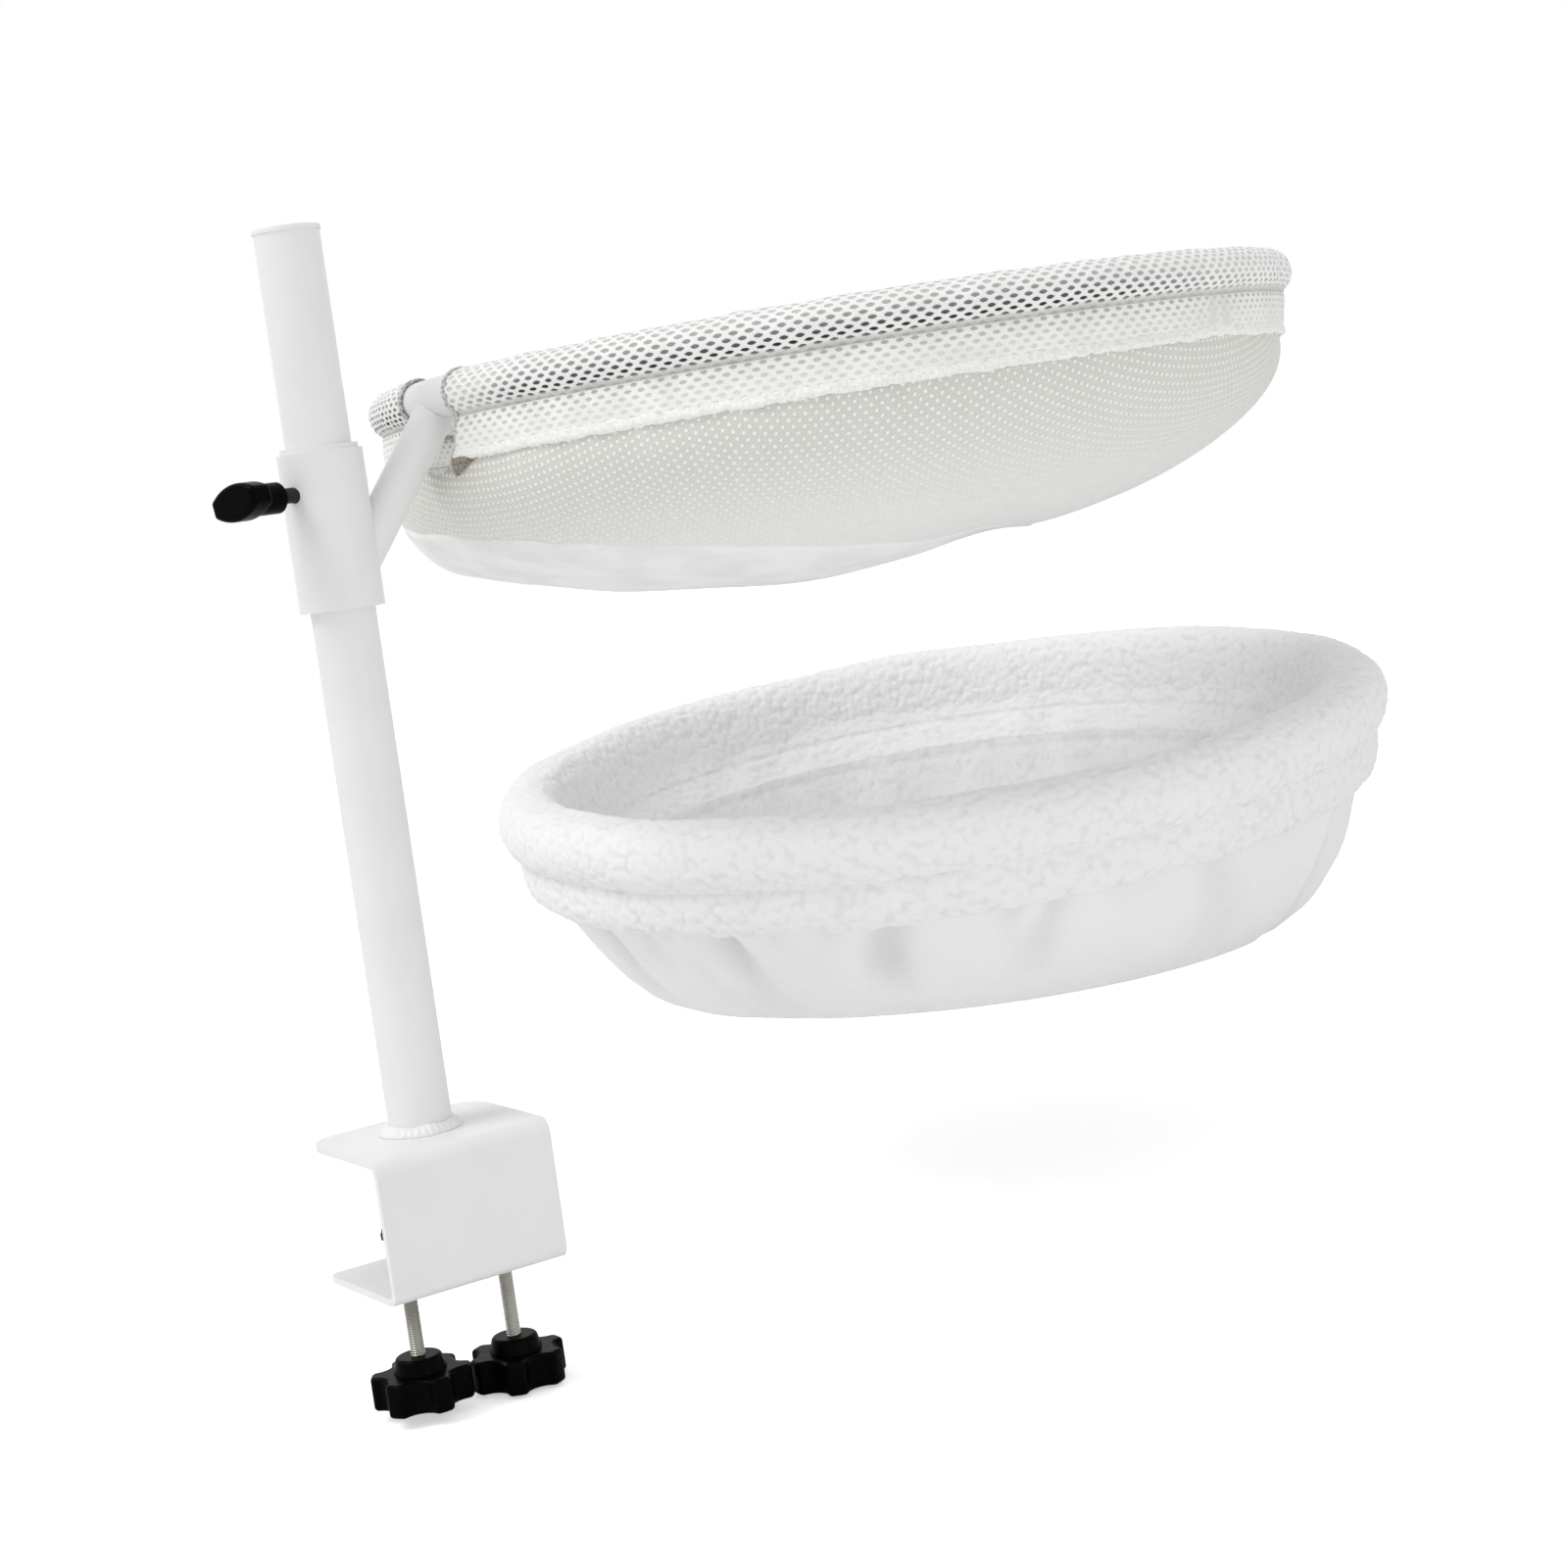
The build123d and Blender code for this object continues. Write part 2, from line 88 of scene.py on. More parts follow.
# Noise whose features are about sizeMm across, from object coordinates, which are in metres
def noise(tree, sizeMm, detail=2.0, stretch=(1, 1, 1)):
    place = addNode(tree, "ShaderNodeTexCoord").outputs["Object"]
    scaled = addNode(tree, "ShaderNodeMapping", {}, {"Scale": stretch}, {"Vector": place})
    values = {"Scale": 1 / (sizeMm * mm), "Detail": detail}
    return addNode(tree, "ShaderNodeTexNoise", {}, values, {"Vector": scaled.outputs[0]}).outputs["Fac"]


# Cells about sizeMm across: the distance from the middle of the nearest one
def cells(tree, sizeMm):
    place = addNode(tree, "ShaderNodeTexCoord").outputs["Object"]
    values = {"Scale": 1 / (sizeMm * mm)}
    return addNode(tree, "ShaderNodeTexVoronoi", {}, values, {"Vector": place}).outputs["Distance"]


# The two axes of the mesh's UV, in mm
def uvAxes(tree):
    place = addNode(tree, "ShaderNodeUVMap", {"uv_map": "UVMap"})
    parts = addNode(tree, "ShaderNodeSeparateXYZ", {}, {}, {"Vector": place.outputs[0]})
    return parts.outputs[0], parts.outputs[1]


# A mix of two colours, each a hex text or a socket, by a factor
def blendColours(tree, factor, first, second):
    made = addNode(tree, "ShaderNodeMix", {"data_type": "RGBA"}, {}, {"Factor": factor})
    for index, given in ((6, first), (7, second)):
        if isinstance(given, str):
            made.inputs[index].default_value = colour(given)
        else:
            tree.links.new(given, made.inputs[index])
    return made.outputs[2]


# The emptied node tree of a material or a world
def emptyTree(owner):
    owner.use_nodes = True
    owner.node_tree.nodes.clear()
    return owner.node_tree


# A material with one principled shader, its values given by the names of their inputs
def newMaterial(name, values):
    material = bpy.data.materials.new(name)
    tree = emptyTree(material)
    shader = addNode(tree, "ShaderNodeBsdfPrincipled", {}, values)
    addNode(tree, "ShaderNodeOutputMaterial", {}, {}, {"Surface": shader.outputs[0]})
    return material, tree, shader


# Makes the base colour a mix of two colours by a factor
def paint(tree, shader, factor, first, second):
    tree.links.new(blendColours(tree, factor, first, second), shader.inputs["Base Color"])


# Bumps laid over each other: each is a height socket, 0 to 1, and its depth in mm
def addBumps(tree, shader, bumps):
    normal = None
    for height, depth in bumps:
        made = addNode(tree, "ShaderNodeBump", {}, {"Distance": depth * mm}, {"Height": height})
        if normal is not None:
            tree.links.new(normal, made.inputs["Normal"])
        normal = made.outputs["Normal"]
    tree.links.new(normal, shader.inputs["Normal"])


# Shape helpers

# A turn about X and then Y, in degrees, as the CAD model leans the hoop and the bed
def leanMatrix(roll, pitch):
    cosR, sinR = math.cos(math.radians(roll)), math.sin(math.radians(roll))
    cosP, sinP = math.cos(math.radians(pitch)), math.sin(math.radians(pitch))
    aboutX = np.array([[1, 0, 0], [0, cosR, -sinR], [0, sinR, cosR]])
    aboutY = np.array([[cosP, 0, sinP], [0, 1, 0], [-sinP, 0, cosP]])
    return aboutX @ aboutY


# The angles of a full turn in radians, one to a row
def fullTurn(count):
    return (np.arange(count) / count * math.tau)[:, None]


# A bell curve: e to the power of minus the square, 1 in the middle
def bell(value):
    return np.exp(-(value**2))


# Points of a ring: reach out from the axis and height along it, at each angle in radians
def ringPoints(angle, reach, height):
    return np.stack(np.broadcast_arrays(reach * np.cos(angle), reach * np.sin(angle), height), axis=-1)


# A grid of points as a mesh, in mm. Its faces look along the first step crossed with the second.
# A closed way joins its last line to its first, and capped ends are closed by fans.
def gridMesh(name, points, uv=None, closedU=False, closedV=False, capped=False, weld=False):
    rows, columns = points.shape[:2]
    i, j = np.indices((rows - (not closedU), columns - (not closedV))).reshape(2, -1)
    corners = [(i, j), (i + 1, j), (i + 1, j + 1), (i, j + 1)]
    quads = np.stack([(a % rows) * columns + b % columns for a, b in corners], axis=1)
    vertices = points.reshape(-1, 3)
    faces = quads.tolist()
    if capped:
        middles = np.array([points[0].mean(axis=0), points[-1].mean(axis=0)])
        count = len(vertices)
        vertices = np.concatenate([vertices, middles])
        ring = np.arange(columns)
        after = (ring + 1) % columns
        last = (rows - 1) * columns
        faces += np.stack([ring, after, np.full(columns, count)], axis=1).tolist()
        faces += np.stack([last + after, last + ring, np.full(columns, count + 1)], axis=1).tolist()
    mesh = bpy.data.meshes.new(name)
    mesh.from_pydata((vertices * mm).tolist(), [], faces)
    mesh.polygons.foreach_set("use_smooth", np.ones(len(faces), bool))
    if uv is not None:
        layer = mesh.uv_layers.new(name="UVMap")
        flat = np.zeros((len(mesh.loops), 2), np.float32)
        ends = [uv[a % rows, b % columns] for a, b in corners]
        flat[: quads.size] = np.stack(ends, axis=1).reshape(-1, 2)
        layer.data.foreach_set("uv", flat.ravel())
    made = bpy.data.objects.new(name, mesh)
    scene.collection.objects.link(made)
    if weld:
        weldPoints(made)
    return made


# Joins points that lie in the same place, such as a row of points at a pole
def weldPoints(made):
    work = bmesh.new()
    work.from_mesh(made.data)
    bmesh.ops.remove_doubles(work, verts=work.verts, dist=0.01 * mm)
    work.to_mesh(made.data)
    work.free()


# Waves round a ring: a sum of whole numbers of cosines with random phases, about -1 to 1
def ringWaves(angle, seed, fewest, most, count, twist=0.0):
    source = np.random.default_rng(seed)
    total = np.zeros(np.shape(angle + twist))
    for _ in range(count):
        waves = source.integers(fewest, most + 1)
        phase, slope = source.uniform(0, math.tau), source.uniform(-1, 1)
        total = total + np.cos(waves * angle + phase + slope * twist)
    return total / math.sqrt(2 * count)


# A random number from 0 to 1 for each whole-numbered cell, by mixing the bits of its place: each
# axis is multiplied by a large odd number and the results are joined bit by bit
def cellRandom(cell, salt):
    mixed = cell[..., 0] * 73856093 ^ cell[..., 1] * 19349663 ^ cell[..., 2] * 83492791
    mixed = mixed ^ salt * 2654435761
    mixed = (mixed ^ (mixed >> 13)) * 1274126177
    return ((mixed ^ (mixed >> 16)) & 0xFFFF) / 65535


# Curls of pile: one round knot in each cell, about 1 at a knot and 0 in the soft creases between
# knots. The squared distances to the knots near a point are joined by a smooth minimum.
def curls(points, cellSize, seed):
    scaled = points / cellSize
    base = np.floor(scaled).astype(np.int64)
    total = np.zeros(len(points))
    for shift in np.ndindex(3, 3, 3):
        cell = base + np.array(shift) - 1
        knot = cell + np.stack([cellRandom(cell, seed + k) for k in (1, 2, 3)], axis=-1)
        total += np.exp(-7.0 * ((scaled - knot) ** 2).sum(axis=1))
    return np.clip(1 + np.log(total + 1e-4) / 5.0, 0, 1.3)


# Positions and normals of a mesh, in mm and as unit arrows
def readMesh(made):
    mesh = made.data
    place, normal = np.zeros((2, len(mesh.vertices) * 3), np.float32)
    mesh.vertices.foreach_get("co", place)
    mesh.vertex_normals.foreach_get("vector", normal)
    return place.reshape(-1, 3).astype(float) / mm, normal.reshape(-1, 3).astype(float)


# Moves the points of a mesh to new positions, in mm
def writeMesh(made, place):
    made.data.vertices.foreach_set("co", (place * mm).astype(np.float32).ravel())
    made.data.update()


# Moves every point along its normal by an amount in mm, given with the mesh as it was read
def pushOut(made, place, normal, amount):
    writeMesh(made, place + normal * amount[:, None])


# Keeps a number for each point of a mesh, for its material
def writeShade(made, name, values):
    layer = made.data.attributes.new(name, "FLOAT", "POINT")
    layer.data.foreach_set("value", values.astype(np.float32))


# Replaces an object's mesh by the one that its modifiers make
def settle(made):
    shown = made.evaluated_get(bpy.context.evaluated_depsgraph_get())
    mesh = bpy.data.meshes.new_from_object(shown)
    made.modifiers.clear()
    made.data = mesh
    mesh.polygons.foreach_set("use_smooth", np.ones(len(mesh.polygons), bool))


stuffingLook = {"frames": 20, "quality": 5, "mass": 0.25}


# Stuffs a closed piece: even faces, then air pressure from inside for some frames with the
# movement capped, then subdivision
def stuff(made, look):
    even = made.modifiers.new("even", "REMESH")
    even.mode = "VOXEL"
    even.voxel_size = look["voxel"] * mm
    settle(made)
    before = readMesh(made)[0]
    cloth = made.modifiers.new("cloth", "CLOTH")
    cloth.settings.quality = stuffingLook["quality"]
    cloth.settings.mass = stuffingLook["mass"]
    cloth.settings.use_pressure = True
    cloth.settings.uniform_pressure_force = look["pressure"]
    cloth.settings.effector_weights.gravity = 0
    cloth.point_cache.frame_start, cloth.point_cache.frame_end = 1, stuffingLook["frames"]
    for moment in range(stuffingLook["frames"]):
        scene.frame_set(moment + 1)
    settle(made)
    scene.frame_set(1)
    moved = readMesh(made)[0] - before
    length = np.linalg.norm(moved, axis=1, keepdims=True)
    writeMesh(made, before + moved * np.minimum(1, look["cap"] / np.maximum(length, 1e-9)))
    finer = made.modifiers.new("finer", "SUBSURF")
    finer.levels = finer.render_levels = look["finer"]
    settle(made)


# Covers a piece in curls that stand out along its normals by up to the pile's height. Its material
# paints the deep places between curls greyer, painted shade, and where the fabric is pressed in it takes
# it as deep pile, painted greyer still.
def pile(made, look, pressed=0.0):
    place, normal = readMesh(made)
    coarse = curls(place, look["curl"], look["seed"])
    fine = curls(place, look["curl"] * 0.45, look["seed"] + 7)
    height = 0.8 * coarse + 0.2 * fine
    pushOut(made, place, normal, look["height"] * (height - 0.35))
    writeShade(made, "pileShade", height - 0.7 * pressed)


print("helpers ready")


# Materials of the hard pieces

patchLook = {"size": 38, "from": 0.35, "to": 0.75}


# A hard finish: the colour drifts towards a dusty one in slow patches, over a fine moulded grain.
# The grain is its size and its depth in mm.
def hardMaterial(name, hexText, dustHex, grain, shaderValues):
    material, tree, shader = newMaterial(name, shaderValues)
    drift = smoothStep(tree, noise(tree, patchLook["size"], 3.0), patchLook["from"], patchLook["to"])
    paint(tree, shader, drift, hexText, dustHex)
    addBumps(tree, shader, [(noise(tree, grain[0], 3.0), grain[1])])
    return material


# satin paint on steel
satin = {"Roughness": 0.42, "Coat Weight": 0.15, "Coat Roughness": 0.3}
powderCoat = hardMaterial("powderCoat", "#ECECEC", "#E8E8E8", (1.3, 0.02), satin)
# bright zinc on the clamp's screws
metal = {"Roughness": 0.3, "Metallic": 1.0}
zincPlate = hardMaterial("zincPlate", "#B9B7B0", "#8F8C84", (2.0, 0.01), metal)
# blackened thread of the thumb screw
blackened = {"Roughness": 0.4, "Specular IOR Level": 0.3}
blackSteel = hardMaterial("blackSteel", "#141414", "#1C1C1C", (2.0, 0.01), blackened)
# the clamp's black foam pads
foam = {"Roughness": 0.9, "Specular IOR Level": 0.2}
foamRubber = hardMaterial("foamRubber", "#232323", "#2D2D2C", (0.7, 0.12), foam)
# cap, bushes and screw tip
whiteNylon = hardMaterial("whiteNylon", "#EEEEEE", "#E6E6E6", (0.5, 0.02), {"Roughness": 0.5})
# swivel pads on the clamp screws
matt = {"Roughness": 0.55, "Specular IOR Level": 0.3}
blackNylon = hardMaterial("blackNylon", "#161616", "#1D1D1D", (0.5, 0.03), matt)
# the moulded black knobs
moulded = {"Roughness": 0.3, "Specular IOR Level": 0.03}
glossPhenolic = hardMaterial("glossPhenolic", "#020202", "#060606", (5.0, 0.05), moulded)

slotMaterials = {
    "white_steel": powderCoat,
    "zinc_steel": zincPlate,
    "pad_rubber": foamRubber,
    "white_plastic": whiteNylon,
    "dark_plastic": blackNylon,
    "black_plastic": glossPhenolic,
}
for part in frame["record"]["subparts"]:
    if part["material_slot"] in slotMaterials:
        mesh = frame["nodes"][part["node"]].data
        mesh.materials.clear()
        mesh.materials.append(slotMaterials[part["material_slot"]])
print("hard materials ready")


# Screws and weld

screwLook = {
    "radius": 3.0, "pitch": 1.0, "depth": 0.55, "around": 24, "perPitch": 6,
    "fromPost": -12.0, "lockHeight": 257.5, "lockHeading": 200.0,
}


# A threaded rod along an axis: its radius falls by the depth in a V that winds on by one pitch
# a turn, and fades at both ends
def threadedRod(name, origin, axis, low, high, material):
    look = screwLook
    axis = np.array(axis, float) / np.linalg.norm(axis)
    side = np.cross(axis, [0.3, 0.2, 0.93] if abs(axis[2]) < 0.9 else [1, 0, 0])
    side /= np.linalg.norm(side)
    other = np.cross(axis, side)
    along = np.linspace(low, high, int((high - low) / look["pitch"] * look["perPitch"]) + 1)[:, None]
    angle = fullTurn(look["around"]).T
    turn = (along / look["pitch"] - angle / math.tau) % 1
    valley = 1 - np.abs(2 * turn - 1)
    fade = np.clip(np.minimum(along - low, high - along) / look["pitch"], 0, 1)
    radius = look["radius"] - look["depth"] * (valley * fade + (1 - fade) * 0.9)
    radius[0] = radius[-1] = 0.0
    around = side * np.cos(angle)[..., None] + other * np.sin(angle)[..., None]
    points = np.array(origin) + along[..., None] * axis + radius[..., None] * around
    made = gridMesh(name, points[::-1], closedV=True, weld=True)
    made.data.materials.append(material)
    return made


leftFoot, rightFoot = ((x, screwLook["fromPost"], 0) for x in (-21, 21))
lockFoot = (0, 0, screwLook["lockHeight"])
heading = math.radians(screwLook["lockHeading"])
lockWay = (math.cos(heading), math.sin(heading), 0)
for name, foot, way, low, high, material, body, node in (
    ("left_thread", leftFoot, (0, 0, 1), -93.9, -31.9, zincPlate, "left_screw", "left_clamp_stud"),
    ("right_thread", rightFoot, (0, 0, 1), -97.8, -35.8, zincPlate, "right_screw", "right_clamp_stud"),
    ("lock_thread", lockFoot, lockWay, 13.55, 34.5, blackSteel, "lock_screw", "thumb_stud"),
):
    rod = threadedRod(name, foot, way, low, high, material)
    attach(rod, body)
    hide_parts(node)

weldLook = {"radius": 12.7, "height": 4.5, "leg": 4.1, "ripples": 34, "lump": 0.35}


# A fillet bead round the post's foot: a bulging section with a ripple for each drop laid down
def weldBead():
    look = weldLook
    angle = fullTurn(720)
    share = np.linspace(0, 1, 9)[None, :]
    wander = 0.4 * ringWaves(angle, 5, 2, 5, 3)
    wave = np.abs(np.sin(angle * look["ripples"] / 2 + 1.2 * (share - 0.5) + wander))
    leg = look["leg"] * (1 + 0.10 * ringWaves(angle, 3, 3, 9, 4))
    bulge = 0.55 + look["lump"] * wave + 0.15 * ringWaves(angle, 4, 5, 21, 4)
    middle = np.sin(share * math.pi) * bulge
    reach = look["radius"] - 0.2 + (leg + 0.2) * (1 - share) + middle * 0.7
    height = look["height"] - 0.1 + leg * share + middle * 0.7
    back = ringPoints(angle, look["radius"] - 0.3, look["height"] - 0.2)
    points = np.concatenate([ringPoints(angle, reach, height), back], axis=1)
    made = gridMesh("post_weld_bead", points, closedU=True, closedV=True)
    made.data.materials.append(powderCoat)
    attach(made, "stand")
    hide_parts("post_weld")


weldBead()
print("screws and weld ready")


# Mesh hammock

hoopLook = {"radius": 189.5, "start": (52.5, 0.0, 288.1), "roll": -1.4, "pitch": -0.9}
hoopLean = leanMatrix(hoopLook["roll"], hoopLook["pitch"])
hoopMiddle = np.array(hoopLook["start"]) + hoopLean @ np.array([hoopLook["radius"], 0, 0])
cutoutLow, cutoutHigh = math.radians(175.2), math.radians(187.0)
coverAngle = math.tau - (cutoutHigh - cutoutLow)


# Angles along the covered way round the hoop, from the cut-out's far edge to its near one
def coverTurn(count):
    return np.linspace(cutoutHigh, cutoutHigh + coverAngle, count)[:, None]


# Points in the hoop's own leaning frame, turned by its lean and moved to its middle
def fromHoop(points):
    return points @ hoopLean.T + hoopMiddle


# The staggered grid of almond holes of the knit: 1 in the middle of a hole, 0 past its edge.
# A hole's edge is where (across / half width) ** 1.4 + (along / half height) ** 1.8 is 1.
def holeField(u, v, look):
    row = np.floor(v / look["rowPitch"])
    along = (v / look["rowPitch"] - row - 0.5) * look["rowPitch"]
    across = ((u / look["pitch"] + 0.5 * (row % 2)) % 1 - 0.5) * look["pitch"]
    edge = (np.abs(across) / look["halfWidth"]) ** 1.4 + (np.abs(along) / look["halfHeight"]) ** 1.8
    return np.clip(1.25 - edge, 0, 1)


# The same grid as nodes on the two axes of the mesh's UV
def holeNodes(tree, look, u, v):
    scaled = calc(tree, "DIVIDE", v, look["rowPitch"])
    row = calc(tree, "FLOOR", scaled)
    stagger = calc(tree, "MULTIPLY", calc(tree, "FLOORED_MODULO", row, 2.0), 0.5)
    inRow = calc(tree, "FRACT", calc(tree, "ADD", calc(tree, "DIVIDE", u, look["pitch"]), stagger))
    terms = []
    for share, pitch, half, power in (
        (inRow, look["pitch"], look["halfWidth"], 1.4),
        (calc(tree, "SUBTRACT", scaled, row), look["rowPitch"], look["halfHeight"], 1.8),
    ):
        away = calc(tree, "ABSOLUTE", calc(tree, "MULTIPLY", calc(tree, "SUBTRACT", share, 0.5), pitch))
        terms.append(calc(tree, "POWER", calc(tree, "DIVIDE", away, half), power))
    return smoothStep(tree, calc(tree, "ADD", *terms), 1.25, 0.75)


# Knitted mesh: yarn of one colour with holes or dots of another. Both go over to a second, paler pair of
# colours by the painted light, and the yarn to a third by the painted shade and tint, which the mesh
# keeps.
def meshMaterial(name, look):
    values = {"Roughness": 0.82, "Specular IOR Level": 0.25, "Sheen Weight": 0.15}
    material, tree, shader = newMaterial(name, values)
    u, v = uvAxes(tree)
    hole = holeNodes(tree, look, u, v)
    paintedLight = addNode(tree, "ShaderNodeAttribute", {"attribute_name": "paintedLight"}).outputs["Fac"]
    shadeAndTint = addNode(tree, "ShaderNodeAttribute", {"attribute_name": "shadeAndTint"}).outputs["Fac"]
    holeColour = blendColours(tree, paintedLight, look["holeHex"], look["litHoleHex"])
    yarn = blendColours(tree, paintedLight, look["yarnHex"], look["litYarnHex"])
    blotch = smoothStep(tree, noise(tree, 14, 3.0), 0.3, 0.75)
    yarn = blendColours(tree, calc(tree, "MULTIPLY", blotch, look["blotch"]), yarn, look["blotchHex"])
    slant = calc(tree, "ADD", u, calc(tree, "MULTIPLY", v, 0.6))
    ribs = calc(tree, "SINE", calc(tree, "MULTIPLY", slant, math.tau / look["rib"]))
    yarn = blendColours(tree, shadeAndTint, yarn, look["shadeAndTintHex"])
    hole = calc(tree, "MULTIPLY", hole, calc(tree, "MULTIPLY_ADD", shadeAndTint, -0.8, 1.0))
    paint(tree, shader, hole, yarn, holeColour)
    pit = calc(tree, "SUBTRACT", 1.0, calc(tree, "MULTIPLY", hole, look["pitted"]))
    fuzz = noise(tree, 0.9, 3.0)
    addBumps(tree, shader, [(pit, look["pitDepth"]), (ribs, look["ribDepth"]), (fuzz, look["fuzz"])])
    return material


# the rim's holes are painted near black as painted shade seen through them, and pale grey where the
# painted light is
rimLook = {
    "pitch": 5.7, "rowPitch": 2.35, "halfWidth": 1.6, "halfHeight": 0.8,
    "yarnHex": "#F3F3F2", "litYarnHex": "#F8F8F7", "holeHex": "#2B2B2F", "litHoleHex": "#DADAD8",
    "shadeAndTintHex": "#CDCCC7", "blotch": 0.35, "blotchHex": "#E6E6E4",
    "rib": 1.3, "ribDepth": 0.03, "pitted": 1.0, "pitDepth": 0.3, "fuzz": 0.05,
    "tube": 8.85, "arc": (-56, 238), "unroll": 9.0, "dimple": 0.5, "wrinkle": 0.28,
    "seamReach": [3.9, 4.0, 4.3], "seamHeight": [-11.8, -10.2, -8.6], "seamRun": [-13.3, -11.7, -10.1],
    "seamOutR": [0.98, 0.96, 0.9], "seamOutZ": [-0.15, -0.25, -0.42],
}


# A smooth step for arrays: 0 below low, 1 above high
def ease(value, low, high):
    share = np.clip((value - low) / (high - low), 0, 1)
    return share * share * (3 - 2 * share)


# The sunny part of the way along the hoop: it rises from 0 at begin to 1 at full, in mm, and
# falls to 0 again from 560 to 760
def sunnyPart(u, begin, full):
    return ease(u, begin, full) * (1 - ease(u, 560, 760))


# The rim's cover: a strip of mesh round the hoop that ends in a seam above the skirt. Small
# wrinkles and a dimple at each hole move it along the normal of its outline.
def makeRim():
    look = rimLook
    length = coverAngle * hoopLook["radius"]
    columns = round(length / look["pitch"]) * 6
    angle = coverTurn(columns + 1)
    tube = np.radians(np.linspace(*look["arc"], 74))
    outR = np.concatenate([look["seamOutR"], np.cos(tube)])[None, :]
    outZ = np.concatenate([look["seamOutZ"], np.sin(tube)])[None, :]
    reach = np.concatenate([look["seamReach"], look["tube"] * np.cos(tube)])[None, :]
    height = np.concatenate([look["seamHeight"], look["tube"] * np.sin(tube)])[None, :]
    v = np.concatenate([look["seamRun"], tube * look["unroll"]])[None, :] + 0 * angle
    u = (angle - cutoutHigh) * hoopLook["radius"] + 0 * v
    hole = holeField(u, v, look) * ease(v, -9.4, -7.4)
    twist = v / look["unroll"]
    wrinkle = ringWaves(angle, 11, 20, 70, 6, 2.0 * twist)
    wrinkle = wrinkle + 0.6 * ringWaves(angle, 12, 90, 160, 4, 3.0 * twist)
    push = look["wrinkle"] * wrinkle - look["dimple"] * hole
    points = fromHoop(ringPoints(angle, hoopLook["radius"] + reach + push * outR, height + push * outZ))
    made = gridMesh("mesh_rim_cover", points, np.stack([u, v], axis=-1))

    # painted shade and light: the holes are painted darkest low on the outer side, where shade falls,
    # and pale on top, at the sunny end and where the cloth bunches at the cut-out
    pale = 0.72 * sunnyPart(u, 250, 360) + 0.8 * (1 - ease(u, 4, 44))
    paintedLight = np.clip(ease(v, -6.0, 10.5) ** 0.8 + pale, 0, 1)
    writeShade(made, "paintedLight", paintedLight.ravel())
    # the strip of the seam under the tube is painted greyer and without holes: painted shade of the
    # crease under the rim
    writeShade(made, "shadeAndTint", (1 - ease(v, -9.9, -7.6)).ravel())
    return made


# the skirt's holes are painted grey as painted shade seen through them, paler where the painted light is
skirtLook = rimLook | {
    "halfWidth": 1.5, "halfHeight": 0.7, "fuzz": 0.28, "pitDepth": 0.18, "blotch": 0.5,
    "yarnHex": "#F7F7F6", "holeHex": "#BCBCBA", "litHoleHex": "#E4E4E2", "shadeAndTintHex": "#E0DED6",
    "top": -9.6, "fold": -9.3, "backTop": -10.0, "low": -23.9, "unroll": 198.0, "gather": 1.2,
    "front": 5.0, "belly": 0.3, "middle": 4.0, "back": 3.3, "wrinkle": 0.5, "dimple": 0.2,
}
drawnLook = {
    "seam": -9.0, "hang": 15.0, "hemRadius": 194.0, "slant": 0.036, "slantReach": 12.0,
    "pull": 4.2, "at": 324, "spread": 0.34, "gatherAt": 286, "gatherSpread": 0.06,
}


# The share of the way down from the seam under the rim to the hem
def shareDown(height):
    return (drawnLook["seam"] - height) / drawnLook["hang"]


# The length of the way along an outline up to each of its points: the sum of the steps
def runAlong(reach, height):
    return np.concatenate([[0], np.cumsum(np.hypot(np.diff(reach), np.diff(height)))])


# A smooth loop through the corners of a closed outline: a cubic between each two corners, whose
# slope at a corner is half the step between the corner's neighbours
def smoothLoop(corners, count):
    corners = np.array(corners, float)
    at = np.linspace(0, len(corners), count, endpoint=False)
    index = np.floor(at).astype(int)
    t = (at - index)[:, None]
    p = [corners[(index + k) % len(corners)] for k in (-1, 0, 1, 2)]
    cubic = 2 * p[1] + (p[2] - p[0]) * t + (2 * p[0] - 5 * p[1] + 4 * p[2] - p[3]) * t**2
    return 0.5 * (cubic + (3 * p[1] - p[0] - 3 * p[2] + p[3]) * t**3)


# Where the skirt is gathered at the sunny end of the hoop: a bell curve of the angle
def gathered(angle):
    return bell((angle - math.radians(drawnLook["gatherAt"])) / drawnLook["gatherSpread"])


# The flap beside the strut hangs slanted: how far, in radians, its cloth has moved towards the
# strut at a share of the way down from the seam to the hem
def slanted(angle, share):
    look = drawnLook
    fade = np.exp(-(angle - cutoutHigh) * look["hemRadius"] / look["slantReach"])
    return -look["slant"] * np.clip(share, 0, 1) * fade


# How far the cloth is drawn in, in mm, opposite the strut: a bell curve of the angle
def drawnIn(angle):
    look = drawnLook
    return look["pull"] * bell((angle % math.tau - math.radians(look["at"])) / look["spread"])


